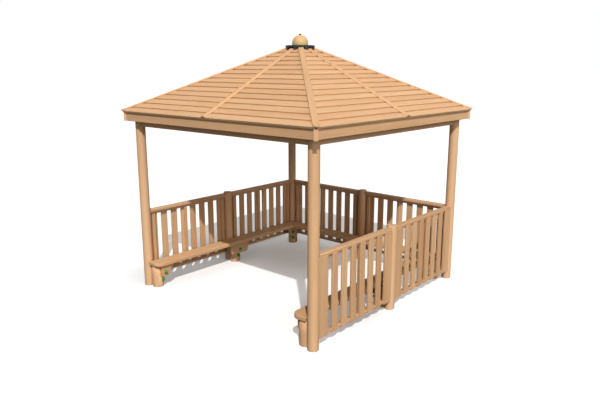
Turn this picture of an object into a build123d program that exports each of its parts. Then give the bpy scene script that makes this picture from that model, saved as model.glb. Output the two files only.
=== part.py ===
from build123d import *

import os
from math import acos, asin, ceil, cos, radians, sin, sqrt, tan

# Square timber garden gazebo: four round corner posts, ring beams, a framed pyramid roof of
# shiplap boards, slatted railings on three sides and a low bench inside them.
# Millimetres, +Z up. The origin is the middle of the plan on the ground, the entrance faces -Y.

# Posts
post_spacing = 2950.0
post_diameter = 125.0
mid_post_proud = 18.0
mid_post_arris = 6.0

# Ring beams between the post heads
beam_bottom = 2180.0
beam_depth = 155.0
beam_width = 70.0

# Roof framing, depths measured plumb
roof_pitch = 27.3
rafter_depth = 108.0
birdsmouth_depth = 26.0
hip_rafter_width = 45.0
centre_rafter_width = 45.0
hip_tail_proud = 6.0
hub_across = 150.0
hub_drop = 25.0

# Eaves
eave_overhang = 165.0
fascia_setback = 28.0
fascia_thickness = 25.0
fascia_drop = 129.0

# Shiplap roof boards, scooped at the upper edge under the next board's butt
course_exposure = 115.0
board_butt = 12.0
board_lap = 14.0
board_scoop = 24.0
hip_board_gap = 28.0

# Cover boards on the hips and battens up the middle of each roof face
hip_cover_width = 70.0
hip_cover_crown = 10.0
hip_cover_overrun = 2.0
batten_width = 76.0
batten_thickness = 22.0
batten_overrun = 2.0
strip_top_reach = 110.0

# Steel cap plate and turned finial
cap_plate_radius = 190.0
plate_thickness = 5.0
plate_rim = 22.0
tab_drop = 46.0
tab_side_gap = 10.5
plate_edge_chamfer = 5.0
ball_diameter = 206.0
ball_flat_depth = 76.0
ball_bands = 16
tenon_diameter = 45.0
tenon_length = 160.0
tip_across = 28.0
tip_height = 16.0
tip_chamfer = 5.0

# Railing panels
panel_set_out = 45.0
slat_width = 92.0
slat_gap = 76.0
slat_thickness = 25.0
slat_bottom = 115.0
end_board_least = 100.0
rail_thickness = 45.0
bottom_rail_depth = 43.0
top_rail_depth = 37.0
stile_width = 38.0
stile_thickness = 38.0
stile_inset = 38.0

# Cap rails over the panels
cap_rail_bottom = 1015.0
cap_rail_depth = 37.0
cap_rail_width = 80.0
cap_rail_round = 7.0

# Bench
seat_top = 357.0
seat_thickness = 45.0
seat_width = 250.0
seat_front_overhang = 60.0
seat_corner_radius = 180.0
seat_edge_chamfer = 8.0
leg_diameter = 150.0
end_leg_inset = 75.0
housing_depth = 6.0
bearer_thickness = 46.0
bearer_depth = 162.0
middle_bearer_length = 380.0
bearer_splay = 40.0
end_bearer_near = 35.0
end_bearer_far = 150.0
corner_bearer_length = 155.0

# Clearance left where two pieces seat
fit_gap = 0.3

# Derived plan sizes
post_line = post_spacing / 2
post_radius = post_diameter / 2
plate_level = beam_bottom + beam_depth
eave_reach = post_line + eave_overhang
fascia_reach = eave_reach - fascia_setback
heel_reach = post_line + beam_width / 2
hub_reach = hub_across / 2 + fit_gap

# Derived roof sizes: the hip runs on the diagonal, so its plan lengths are longer by this ratio
diagonal_ratio = sqrt(2)
roof_slope = tan(radians(roof_pitch))
hip_slope = roof_slope / diagonal_ratio
hip_backing = hip_slope / sqrt(1 + hip_slope**2)
cladding_thickness = board_butt + board_lap
normal_to_plumb = 1 / cos(radians(roof_pitch))

# Directions
up = Vector(0, 0, 1)
sides = {
    "front": Vector(0, -1, 0),
    "right": Vector(1, 0, 0),
    "back": Vector(0, 1, 0),
    "left": Vector(-1, 0, 0),
}
corners = {
    "front_left": Vector(-1, -1, 0).normalized(),
    "front_right": Vector(1, -1, 0).normalized(),
    "back_right": Vector(1, 1, 0).normalized(),
    "back_left": Vector(-1, 1, 0).normalized(),
}
railed_sides = ("left", "right", "back")


def rafter_top(reach):
    """Height of the rafters' top face at a plan distance from the middle."""
    return plate_level - birdsmouth_depth + rafter_depth + (heel_reach - reach) * roof_slope


def roof_top(reach):
    """Height of the plane through the butts of the roof boards."""
    return rafter_top(reach) + (fit_gap + cladding_thickness) * normal_to_plumb


def tangent_of(outward):
    """Horizontal direction along a side, a quarter turn on from its outward direction."""
    return up.cross(outward)


def section_plane(outward):
    """Upright plane through the middle: its X runs outward and its Y runs up."""
    return Plane(origin=(0, 0, 0), x_dir=outward, z_dir=outward.cross(up))


def wall_plane(outward, reach, along=0):
    """Upright plane that faces outward: its X runs along the side and its Y runs up."""
    origin = outward * reach + tangent_of(outward) * along
    return Plane(origin=origin, x_dir=tangent_of(outward), z_dir=outward)


def slope_plane(outward, height_at):
    """Plane in the roof slope: its origin is over the eave, its X runs along the side, its Z out."""
    normal = outward * sin(radians(roof_pitch)) + up * cos(radians(roof_pitch))
    origin = outward * eave_reach + up * height_at(eave_reach)
    return Plane(origin=origin, x_dir=tangent_of(outward), z_dir=normal)


def slope_section(outward, height_at):
    """Upright plane for roof profiles: its X climbs the slope from the eave, its Y leaves the roof."""
    face = slope_plane(outward, height_at)
    return Plane(origin=face.origin, x_dir=face.y_dir, z_dir=tangent_of(outward))


def hip_plane(outward, turn, gap):
    """Upright plane on a hip that bounds the side's roof face, moved in by a gap."""
    normal = (outward + tangent_of(outward) * turn).normalized()
    return Plane(origin=normal * gap, z_dir=normal)


def finish_node(builder, name):
    """Name a finished piece and write it."""
    builder.part.label = name
    export_step(builder.part, f"parts/{name}.step")


os.makedirs("parts", exist_ok=True)

# Corner posts, cut level at the beams' top to carry the hip rafters
for corner_name, corner in corners.items():
    with BuildPart() as corner_post:
        with BuildSketch(Plane(origin=corner * post_line * diagonal_ratio)):
            Circle(post_radius)
        extrude(amount=plate_level)
    finish_node(corner_post, f"corner_post_{corner_name}")

# Mid posts of the railed sides, with an eased top edge
for side in railed_sides:
    with BuildPart() as mid_post:
        with BuildSketch(Plane(origin=sides[side] * post_line)):
            Circle(post_radius)
        extrude(amount=cap_rail_bottom + cap_rail_depth + mid_post_proud)
        chamfer(mid_post.edges().sort_by(Axis.Z)[-1], length=mid_post_arris)
    finish_node(mid_post, f"mid_post_{side}")

# Ring beams, coped at both ends to the round posts
for side, outward in sides.items():
    with BuildPart() as ring_beam:
        with BuildSketch(wall_plane(outward, post_line - beam_width / 2)):
            with Locations((0, beam_bottom)):
                Rectangle(post_spacing, beam_depth, align=(Align.CENTER, Align.MIN))
        extrude(amount=beam_width)
        with BuildSketch(Plane(origin=outward * post_line + up * beam_bottom, x_dir=tangent_of(outward))):
            with Locations((-post_line, 0), (post_line, 0)):
                Circle(post_radius + fit_gap)
        extrude(amount=beam_depth, mode=Mode.SUBTRACT)
    finish_node(ring_beam, f"ring_beam_{side}")

# Hip rafters: birdsmouthed over the post heads, backed to both roof slopes, cut plumb at the tail
hip_seat = plate_level + fit_gap
hip_heel = post_line * diagonal_ratio + post_radius + fit_gap
hip_tail = fascia_reach * diagonal_ratio + hip_tail_proud
hip_seat_drop = rafter_top(heel_reach) - rafter_depth - hip_seat
hip_seat_inner = (heel_reach + hip_seat_drop / roof_slope) * diagonal_ratio


def hip_top(run):
    """Height of a hip rafter's ridge at a distance from the middle along the diagonal."""
    return rafter_top(run / diagonal_ratio)


with BuildPart() as hip_rafters:
    for corner in corners.values():
        with BuildSketch(section_plane(corner)):
            with BuildLine():
                Polyline(
                    (hub_reach, hip_top(hub_reach)),
                    (hip_tail, hip_top(hip_tail)),
                    (hip_tail, hip_top(hip_tail) - rafter_depth),
                    (hip_heel, hip_top(hip_heel) - rafter_depth),
                    (hip_heel, hip_seat),
                    (hip_seat_inner, hip_seat),
                    (hub_reach, hip_top(hub_reach) - rafter_depth),
                    close=True,
                )
            make_face()
    extrude(amount=hip_rafter_width / 2, both=True)
    for outward in sides.values():
        split(bisect_by=slope_plane(outward, rafter_top), keep=Keep.BOTTOM)
finish_node(hip_rafters, "hip_rafters")

# Centre rafters: birdsmouthed over the ring beams, from the hub to the back of the fascia
rafter_seat = plate_level + fit_gap
rafter_heel = heel_reach + fit_gap
rafter_tail = fascia_reach - fascia_thickness - fit_gap
rafter_seat_drop = rafter_top(heel_reach) - rafter_depth - rafter_seat
rafter_seat_inner = heel_reach + rafter_seat_drop / roof_slope
with BuildPart() as centre_rafters:
    for outward in sides.values():
        with BuildSketch(section_plane(outward)):
            with BuildLine():
                Polyline(
                    (hub_reach, rafter_top(hub_reach)),
                    (rafter_tail, rafter_top(rafter_tail)),
                    (rafter_tail, rafter_top(rafter_tail) - rafter_depth),
                    (rafter_heel, rafter_top(rafter_heel) - rafter_depth),
                    (rafter_heel, rafter_seat),
                    (rafter_seat_inner, rafter_seat),
                    (hub_reach, rafter_top(hub_reach) - rafter_depth),
                    close=True,
                )
            make_face()
    extrude(amount=centre_rafter_width / 2, both=True)
finish_node(centre_rafters, "centre_rafters")

# Fascia boards, bevelled under the roof boards and mitred against the hip rafters' sides
fascia_bottom = roof_top(eave_reach) - fascia_drop
fascia_back = fascia_reach - fascia_thickness
for side, outward in sides.items():
    with BuildPart() as fascia:
        with BuildSketch(section_plane(outward)):
            with BuildLine():
                Polyline(
                    (fascia_back, fascia_bottom),
                    (fascia_reach, fascia_bottom),
                    (fascia_reach, rafter_top(fascia_reach)),
                    (fascia_back, rafter_top(fascia_back)),
                    close=True,
                )
            make_face()
        extrude(amount=fascia_reach, both=True)
        for turn in (-1, 1):
            split(bisect_by=hip_plane(outward, turn, hip_rafter_width / 2 + fit_gap), keep=Keep.TOP)
    finish_node(fascia, f"fascia_{side}")

# Roof faces: shiplap boards in profile, stopped short of the hips and square at the hub
roof_run = (eave_reach - hub_reach) * normal_to_plumb - cladding_thickness * roof_slope
course_count = ceil(roof_run / course_exposure)
roof_profile = [(0, -cladding_thickness)]
for course in range(course_count):
    course_start = course * course_exposure
    course_end = course_start + course_exposure
    scoop_start = course_end - board_scoop
    roof_profile.append((course_start, 0))
    if roof_run > scoop_start:
        roof_profile.append((scoop_start, 0))
    scoop_share = max(min(roof_run, course_end) - scoop_start, 0) / board_scoop
    roof_profile.append((min(roof_run, course_end), -board_butt * scoop_share))
roof_profile.append((roof_run, -cladding_thickness))
for side, outward in sides.items():
    with BuildPart() as roof_face:
        with BuildSketch(slope_section(outward, roof_top)):
            with BuildLine():
                Polyline(*roof_profile, close=True)
            make_face()
        extrude(amount=eave_reach, both=True)
        for turn in (-1, 1):
            split(bisect_by=hip_plane(outward, turn, hip_board_gap / 2), keep=Keep.TOP)
    finish_node(roof_face, f"roof_{side}")

# Centre battens, flat on the boards, cut square at the eave and plumb under the cap plate
strip_top_height = roof_top(strip_top_reach) + (fit_gap + batten_thickness) * normal_to_plumb
batten_end = eave_reach * normal_to_plumb
with BuildPart() as centre_battens:
    for outward in sides.values():
        with BuildSketch(slope_section(outward, roof_top)):
            with Locations((-batten_overrun, fit_gap)):
                Rectangle(batten_end + batten_overrun, batten_thickness, align=(Align.MIN, Align.MIN))
        extrude(amount=batten_width / 2, both=True)
    with BuildSketch(Plane.XY):
        Rectangle(strip_top_reach * 2, strip_top_reach * 2)
    extrude(amount=strip_top_height * 2, mode=Mode.SUBTRACT)
finish_node(centre_battens, "centre_battens")

# Hip cover boards: hollowed underneath to sit on both slopes, trimmed plumb along the eaves
hip_crest_run = eave_reach * diagonal_ratio
hip_normal_to_plumb = sqrt(1 + hip_slope**2)
cover_underside = roof_top(eave_reach) + fit_gap * normal_to_plumb
cover_crown = cover_underside + hip_cover_crown * hip_normal_to_plumb
hip_cover_top_run = hip_crest_run - (strip_top_height - cover_crown) / hip_slope
hip_cover_reach = eave_reach + hip_cover_overrun
with BuildPart() as hip_cover_boards:
    for corner in corners.values():
        hip_line = (up * hip_slope - corner).normalized()
        crest = corner * hip_crest_run + up * cover_underside - hip_line * hip_cover_width
        with BuildSketch(Plane(origin=crest, x_dir=tangent_of(corner) * -1, z_dir=hip_line)):
            with BuildLine():
                Polyline(
                    (0, 0),
                    (hip_cover_width / 2, -hip_cover_width / 2 * hip_backing),
                    (hip_cover_width / 2, hip_cover_crown),
                    (-hip_cover_width / 2, hip_cover_crown),
                    (-hip_cover_width / 2, -hip_cover_width / 2 * hip_backing),
                    close=True,
                )
            make_face()
        extrude(amount=hip_crest_run * hip_normal_to_plumb)
    with BuildSketch(Plane.XY):
        Rectangle(hip_cover_reach * 2, hip_cover_reach * 2)
        Rectangle(hip_cover_top_run * 2, hip_cover_top_run * 2, rotation=45, mode=Mode.SUBTRACT)
    extrude(amount=strip_top_height * 2, mode=Mode.INTERSECT)
finish_node(hip_cover_boards, "hip_cover_boards")

# Apex hub: an eight-sided block that the rafters meet, bored for the finial's tenon
plate_bottom = strip_top_height + fit_gap
plate_top = plate_bottom + plate_thickness
hub_bottom = rafter_top(hub_reach) - rafter_depth - hub_drop
octagon_sides = 8
half_octagon_turn = 180 / octagon_sides
hexagon_sides = 6
half_hexagon_turn = 180 / hexagon_sides
with BuildPart() as apex_hub:
    with BuildSketch(Plane.XY.offset(hub_bottom)):
        RegularPolygon(hub_across / 2, octagon_sides, major_radius=False, rotation=half_octagon_turn)
    extrude(amount=strip_top_height - hub_bottom)
    with BuildSketch(Plane.XY.offset(strip_top_height)):
        Circle(tenon_diameter / 2 + fit_gap)
    extrude(amount=-tenon_length, mode=Mode.SUBTRACT)
finish_node(apex_hub, "apex_hub")

# Cap plate: a round pan with a turned-down rim, tabs between the eight strips and a tenon hole
widest_strip = max(hip_cover_width, batten_width)
strip_count = len(sides) + len(corners)
with BuildPart() as cap_plate:
    with BuildSketch(Plane.XY.offset(plate_top)):
        Circle(cap_plate_radius)
    extrude(amount=-plate_rim)
    chamfer(cap_plate.faces().sort_by(Axis.Z)[-1].edges(), length=plate_edge_chamfer)
    with BuildSketch(Plane.XY.offset(plate_bottom)):
        Circle(cap_plate_radius - plate_thickness)
    extrude(amount=-plate_rim, mode=Mode.SUBTRACT)
    with BuildSketch(Plane.XY.offset(plate_top - plate_rim)):
        Circle(cap_plate_radius)
        Circle(cap_plate_radius - plate_thickness, mode=Mode.SUBTRACT)
        with PolarLocations(cap_plate_radius, strip_count):
            Rectangle(cap_plate_radius, widest_strip + 2 * tab_side_gap, mode=Mode.SUBTRACT)
    extrude(amount=plate_rim - tab_drop)
    with BuildSketch(Plane.XY.offset(plate_top)):
        Circle(tenon_diameter / 2 + fit_gap)
    extrude(amount=-plate_rim, mode=Mode.SUBTRACT)
finish_node(cap_plate, "cap_plate")

# Finial ball, turned in narrow bands, with a flat on the plate, one under its tip and a tenon into the hub
ball_radius = ball_diameter / 2
ball_seat = plate_top + fit_gap
ball_centre = ball_seat - ball_flat_depth + ball_radius
tip_seat_radius = tip_across / 2 / cos(radians(half_hexagon_turn))
tip_seat = ball_centre + sqrt(ball_radius**2 - tip_seat_radius**2)
foot_turn = asin((ball_seat - ball_centre) / ball_radius)
tip_turn = acos(tip_seat_radius / ball_radius)
ball_profile = []
for band_edge in range(ball_bands + 1):
    band_turn = foot_turn + (tip_turn - foot_turn) * band_edge / ball_bands
    ball_profile.append((ball_radius * cos(band_turn), ball_centre + ball_radius * sin(band_turn)))
with BuildPart() as finial_ball:
    with BuildSketch(Plane.XZ):
        with BuildLine():
            Polyline(
                *ball_profile,
                (0, tip_seat),
                (0, ball_seat - tenon_length),
                (tenon_diameter / 2, ball_seat - tenon_length),
                (tenon_diameter / 2, ball_seat),
                close=True,
            )
        make_face()
    revolve(axis=Axis.Z)
finish_node(finial_ball, "finial_ball")

# Finial tip: a six-sided cap nut with a chamfered crown
with BuildPart() as finial_tip:
    with BuildSketch(Plane.XY.offset(tip_seat + fit_gap)):
        RegularPolygon(tip_across / 2, hexagon_sides, major_radius=False)
    extrude(amount=tip_height)
    chamfer(finial_tip.faces().sort_by(Axis.Z)[-1].edges(), length=tip_chamfer)
finish_node(finial_tip, "finial_tip")

# Railing panels: slats and wider end boards nailed over two rails and three stiles
panel_length = post_line - post_diameter - 2 * fit_gap
panel_offset = post_line / 2
slat_back = post_line + panel_set_out - slat_thickness
slat_top = cap_rail_bottom - fit_gap
slat_pitch = slat_width + slat_gap
slat_count = int((panel_length - slat_gap - 2 * end_board_least) / slat_pitch)
end_board_width = (panel_length - slat_count * slat_pitch - slat_gap) / 2
end_board_place = (panel_length - end_board_width) / 2
stile_place = panel_length / 2 - stile_inset - stile_width / 2
middle_stile_place = 0 if slat_count % 2 else slat_pitch / 2
stile_places = (-stile_place, middle_stile_place, stile_place)
panel_names = {
    "left": ("back", "front"),
    "right": ("front", "back"),
    "back": ("right", "left"),
}
for side, halves in panel_names.items():
    outward = sides[side]
    for half, along in zip(halves, (-panel_offset, panel_offset)):
        with BuildPart() as railing:
            with BuildSketch(wall_plane(outward, slat_back, along)):
                with Locations((0, slat_bottom)):
                    with GridLocations(slat_pitch, 0, slat_count, 1):
                        Rectangle(slat_width, slat_top - slat_bottom, align=(Align.CENTER, Align.MIN))
                with Locations((-end_board_place, slat_bottom), (end_board_place, slat_bottom)):
                    Rectangle(end_board_width, slat_top - slat_bottom, align=(Align.CENTER, Align.MIN))
            extrude(amount=slat_thickness)
            with BuildSketch(wall_plane(outward, slat_back, along)):
                with Locations((0, slat_bottom)):
                    Rectangle(panel_length, bottom_rail_depth, align=(Align.CENTER, Align.MIN))
                with Locations((0, slat_top)):
                    Rectangle(panel_length, top_rail_depth, align=(Align.CENTER, Align.MAX))
            extrude(amount=-rail_thickness)
            with BuildSketch(wall_plane(outward, slat_back, along)):
                with Locations(*((place, slat_bottom) for place in stile_places)):
                    Rectangle(stile_width, slat_top - slat_bottom, align=(Align.CENTER, Align.MIN))
            extrude(amount=-stile_thickness)
        finish_node(railing, f"railing_{side}_{half}")

# Cap rails: a flat handrail with eased upper edges over each panel
for side in railed_sides:
    outward = sides[side]
    with BuildPart() as cap_rails:
        for along in (-panel_offset, panel_offset):
            cap_middle = outward * post_line + tangent_of(outward) * along
            section = Plane(origin=cap_middle, x_dir=outward, z_dir=tangent_of(outward) * -1)
            with BuildSketch(section) as cap_section:
                with Locations((panel_set_out, cap_rail_bottom)):
                    Rectangle(cap_rail_width, cap_rail_depth, align=(Align.MAX, Align.MIN))
                fillet(cap_section.vertices().group_by(Axis.Y)[-1], radius=cap_rail_round)
        extrude(amount=panel_length / 2, both=True)
    finish_node(cap_rails, f"cap_rails_{side}")

# Bench seats: planks mitred at the back corners, with a rounded corner at the entrance
seat_outer = post_line - post_radius - fit_gap
seat_inner = seat_outer - seat_width
seat_end = post_line + seat_front_overhang
seat_bottom = seat_top - seat_thickness


def eased_edges(seat):
    """Top edges of a seat plank, without its mitres."""
    top_edges = seat.faces().sort_by(Axis.Z)[-1].edges()
    return top_edges.filter_by(Axis.X) + top_edges.filter_by(Axis.Y) + top_edges.filter_by(GeomType.CIRCLE)


for side in ("left", "right"):
    hand = sides[side].X
    with BuildPart() as bench_seat:
        with BuildSketch(Plane.XY.offset(seat_bottom)) as seat_plan:
            with BuildLine():
                Polyline(
                    (hand * seat_outer, -seat_end),
                    (hand * seat_inner, -seat_end),
                    (hand * seat_inner, seat_inner - fit_gap),
                    (hand * seat_outer, seat_outer - fit_gap),
                    close=True,
                )
            make_face()
            entrance_corners = seat_plan.vertices().group_by(Axis.Y)[0]
            fillet(entrance_corners.sort_by_distance((0, -seat_end, 0))[0], radius=seat_corner_radius)
        extrude(amount=seat_thickness)
        chamfer(eased_edges(bench_seat), length=seat_edge_chamfer)
    finish_node(bench_seat, f"bench_seat_{side}")
with BuildPart() as bench_seat:
    with BuildSketch(Plane.XY.offset(seat_bottom)):
        with BuildLine():
            Polyline(
                (-seat_outer, seat_outer),
                (seat_outer, seat_outer),
                (seat_inner, seat_inner),
                (-seat_inner, seat_inner),
                close=True,
            )
        make_face()
    extrude(amount=seat_thickness)
    chamfer(eased_edges(bench_seat), length=seat_edge_chamfer)
finish_node(bench_seat, "bench_seat_back")

# Bench legs, each with a flat that houses the bearer on its inner face
leg_radius = leg_diameter / 2
leg_line = post_line - post_radius - leg_radius - fit_gap
leg_top = seat_bottom - fit_gap
end_leg_place = -(post_line - end_leg_inset)
bearer_bottom = leg_top - bearer_depth
bearer_back = leg_radius - housing_depth + fit_gap
middle_bearer = [
    (-middle_bearer_length / 2, leg_top),
    (middle_bearer_length / 2, leg_top),
    (middle_bearer_length / 2 - bearer_splay, bearer_bottom),
    (bearer_splay - middle_bearer_length / 2, bearer_bottom),
]
corner_bearer = [
    (-corner_bearer_length / 2, leg_top),
    (corner_bearer_length / 2, leg_top),
    (corner_bearer_length / 2, bearer_bottom),
    (-corner_bearer_length / 2, bearer_bottom),
]


def end_bearer(turn):
    """Outline of an end bearer, splayed at the end that points to the back of the bench."""
    return [
        (-turn * end_bearer_near, leg_top),
        (turn * end_bearer_far, leg_top),
        (turn * (end_bearer_far - bearer_splay), bearer_bottom),
        (-turn * end_bearer_near, bearer_bottom),
    ]


bench_supports = {
    "left": [
        (Vector(-leg_line, end_leg_place, 0), sides["right"], end_bearer(1)),
        (Vector(-leg_line, 0, 0), sides["right"], middle_bearer),
    ],
    "right": [
        (Vector(leg_line, end_leg_place, 0), sides["left"], end_bearer(-1)),
        (Vector(leg_line, 0, 0), sides["left"], middle_bearer),
    ],
    "back": [
        (Vector(-leg_line, leg_line, 0), corners["front_right"], corner_bearer),
        (Vector(0, leg_line, 0), sides["front"], middle_bearer),
        (Vector(leg_line, leg_line, 0), corners["front_left"], corner_bearer),
    ],
}
for side, supports in bench_supports.items():
    with BuildPart() as bench_legs:
        for leg_centre, facing, outline in supports:
            with BuildSketch(Plane(origin=leg_centre)):
                Circle(leg_radius)
        extrude(amount=leg_top)
        for leg_centre, facing, outline in supports:
            housing = leg_centre + facing * (leg_radius - housing_depth)
            with BuildSketch(Plane(origin=housing, x_dir=tangent_of(facing), z_dir=facing)):
                with Locations((0, leg_top)):
                    Rectangle(leg_diameter, bearer_depth + fit_gap, align=(Align.CENTER, Align.MAX))
        extrude(amount=leg_radius, mode=Mode.SUBTRACT)
    finish_node(bench_legs, f"bench_legs_{side}")
    with BuildPart() as bench_bearers:
        for leg_centre, facing, outline in supports:
            seat_face = leg_centre + facing * bearer_back
            with BuildSketch(Plane(origin=seat_face, x_dir=tangent_of(facing), z_dir=facing)):
                with BuildLine():
                    Polyline(*outline, close=True)
                make_face()
        extrude(amount=bearer_thickness)
    finish_node(bench_bearers, f"bench_bearers_{side}")
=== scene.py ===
import logging
import math
from collections.abc import Callable
from dataclasses import dataclass
from enum import Enum

import bpy
import numpy as np
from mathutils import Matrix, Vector


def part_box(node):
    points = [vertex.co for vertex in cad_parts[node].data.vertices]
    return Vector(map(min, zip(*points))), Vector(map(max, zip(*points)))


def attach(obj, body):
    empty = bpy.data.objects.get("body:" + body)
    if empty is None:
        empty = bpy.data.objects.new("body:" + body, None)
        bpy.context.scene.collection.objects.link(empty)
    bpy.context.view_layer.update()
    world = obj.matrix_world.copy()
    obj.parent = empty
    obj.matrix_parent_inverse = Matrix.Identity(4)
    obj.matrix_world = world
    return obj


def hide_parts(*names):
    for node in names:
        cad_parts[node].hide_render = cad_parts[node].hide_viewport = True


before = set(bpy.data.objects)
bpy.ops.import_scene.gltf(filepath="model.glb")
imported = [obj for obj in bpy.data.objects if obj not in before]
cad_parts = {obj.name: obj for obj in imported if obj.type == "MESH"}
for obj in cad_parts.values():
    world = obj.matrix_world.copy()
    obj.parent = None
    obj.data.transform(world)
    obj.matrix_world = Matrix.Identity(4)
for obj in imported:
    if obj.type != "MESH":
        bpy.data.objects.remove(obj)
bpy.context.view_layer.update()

# Square timber garden gazebo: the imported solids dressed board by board.
# Metres, +Z up. The origin is the middle of the plan on the ground, the entrance faces -Y.

LOG = logging.getLogger("gazebo")
BODY = "root"
SEED = 27
X_AXIS, Y_AXIS, UP = np.eye(3)
DIAGONAL = math.sqrt(2)
WHITE = (1.0, 1.0, 1.0, 1.0)
# Clearance between seated pieces.
FIT_GAP = 0.0003
# Chords in an eased corner.
ARC_STEPS = 2
# Rounding of a board's cut ends.
END_EASE = 0.002
# Depth of the darker rim at a board's sawn ends.
END_BAND = 0.004
# Rise of a unit axis that counts as upright.
STEEP = 0.9

# Kinds of value, for the type hints.
Points = list[tuple[float, float]] | np.ndarray
Height = Callable[[float | np.ndarray], float | np.ndarray]
Screen = tuple[int, int, int]
Triple = tuple[float, float, float]
Socket = bpy.types.NodeSocket
Feed = Socket | float | tuple[float, ...]


class Bearing(Enum):
    """A level way out of the square plan, by its signs along X and Y."""

    @property
    def outward(self) -> np.ndarray:
        """Unit direction away from the middle."""
        return unit(np.array([*self.value, 0.0]))

    @property
    def tangent(self) -> np.ndarray:
        """Unit level direction, a quarter turn on from outward."""
        return np.cross(UP, self.outward)

    @property
    def label(self) -> str:
        """Its name as the nodes use it."""
        return self.name.lower()


class Side(Bearing):
    """A side of the plan."""

    FRONT = (0, -1)
    RIGHT = (1, 0)
    BACK = (0, 1)
    LEFT = (-1, 0)


class Corner(Bearing):
    """A corner of the plan."""

    FRONT_LEFT = (-1, -1)
    FRONT_RIGHT = (1, -1)
    BACK_RIGHT = (1, 1)
    BACK_LEFT = (-1, 1)


RAILED_SIDES = (Side.LEFT, Side.RIGHT, Side.BACK)


class Slot(Enum):
    """The record's material slots."""

    POST = "post_timber"
    FRAMING = "framing_timber"
    ROOF_BOARD = "roof_board_timber"
    TRIM = "trim_timber"
    RAILING = "railing_timber"
    BENCH = "bench_timber"
    FINIAL = "finial_timber"
    STEEL = "black_steel"
    BOLT_CAP = "bolt_cap_plastic"


# Shapes


def unit(vectors: np.ndarray) -> np.ndarray:
    """Scale vectors to length one.

    Args:
        vectors: Array whose last axis holds the components.

    Returns:
        Array of the same shape.
    """
    return vectors / np.linalg.norm(vectors, axis=-1, keepdims=True)


def span(node: str, direction: np.ndarray) -> tuple[float, float]:
    """Extent of a node's box along an axis direction.

    Args:
        node: Name of the node.
        direction: Unit vector along X, Y or Z, either way.

    Returns:
        Lowest and highest distance along the direction.
    """
    low, high = (float(np.dot(corner, direction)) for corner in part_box(node))
    return min(low, high), max(low, high)


def eased_outline(corners: Points, radii: float | list[float], steps: int = ARC_STEPS) -> np.ndarray:
    """Closed outline whose corners are arcs.

    Each corner is left along its two edges by the radius over the tangent of half its angle. The arc
    between turns evenly about a centre on the angle's bisector: a blend of its two end radii, each
    weighted by the sine of the turn still to go.

    Args:
        corners: Corner points in order, anticlockwise.
        radii: One radius for all corners, or one for each.
        steps: Chords in each arc.

    Returns:
        Points of the outline, steps + 1 for each corner.
    """
    points = np.asarray(corners, float)
    radius = np.broadcast_to(np.asarray(radii, float), len(points))[:, None]
    back = unit(np.roll(points, 1, 0) - points)
    ahead = unit(np.roll(points, -1, 0) - points)
    half = np.arccos(np.clip(np.sum(back * ahead, 1), -1, 1))[:, None] / 2
    centre = points + unit(back + ahead) * radius / np.sin(half)
    begin = (points + back * radius / np.tan(half) - centre)[:, None]
    end = (points + ahead * radius / np.tan(half) - centre)[:, None]
    turn = (math.pi - 2 * half)[:, None]
    share = np.linspace(0, 1, steps + 1)[None, :, None]
    arc = (begin * np.sin((1 - share) * turn) + end * np.sin(share * turn)) / np.sin(turn)
    return (centre[:, None] + arc).reshape(-1, 2)


def rectangle(width: float, thickness: float) -> Points:
    """Corners of a centred rectangle, anticlockwise."""
    x, y = width / 2, thickness / 2
    return [(-x, -y), (x, -y), (x, y), (-x, y)]


def regular_outline(sides: int, apothem: float) -> Points:
    """Corners of a regular polygon with a flat side on +X, anticlockwise.

    Args:
        sides: How many sides it has.
        apothem: Distance of a side from the middle.

    Returns:
        The corners.
    """
    half = math.pi / sides
    turn = half + 2 * half * np.arange(sides)
    return apothem / math.cos(half) * np.column_stack([np.cos(turn), np.sin(turn)])


@dataclass
class Shell:
    """Closed surfaces made of stacked rings of points, with the grain that runs through them.

    Attributes:
        rings: Points by board, ring and place in the ring.
        grain: Along, across and out of each point, from the middle of its board.
        half: Half the length, width and thickness of each board.
        soft_points: Which strips, from one place in the ring to the next, are round.
        soft_rings: Which bands, from one ring to the next, are round.
    """

    rings: np.ndarray
    grain: np.ndarray
    half: np.ndarray
    soft_points: np.ndarray
    soft_rings: np.ndarray

    def faces(self, first: int) -> tuple[np.ndarray, np.ndarray, np.ndarray]:
        """Corner indices of the sides and ends.

        Args:
            first: Index of this shell's first point in the mesh.

        Returns:
            Quads of the sides, polygons of the ends, and the quads' smooth flags.
        """
        boards, rings, points, _ = self.rings.shape
        index = first + np.arange(boards * rings * points).reshape(boards, rings, points)
        ahead = np.roll(index, -1, axis=2)
        quads = np.stack([index[:, :-1], ahead[:, :-1], ahead[:, 1:], index[:, 1:]], axis=-1)
        ends = np.concatenate([index[:, 0, ::-1], index[:, -1]])
        smooth = self.soft_rings[:, None] | self.soft_points[None, :]
        return quads.reshape(-1, 4), ends, np.broadcast_to(smooth, quads.shape[:3]).ravel()


def arc_flags(points: int, steps: int = ARC_STEPS) -> np.ndarray:
    """Which strips of an eased outline lie in its arcs."""
    return np.arange(points) % (steps + 1) != steps


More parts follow.
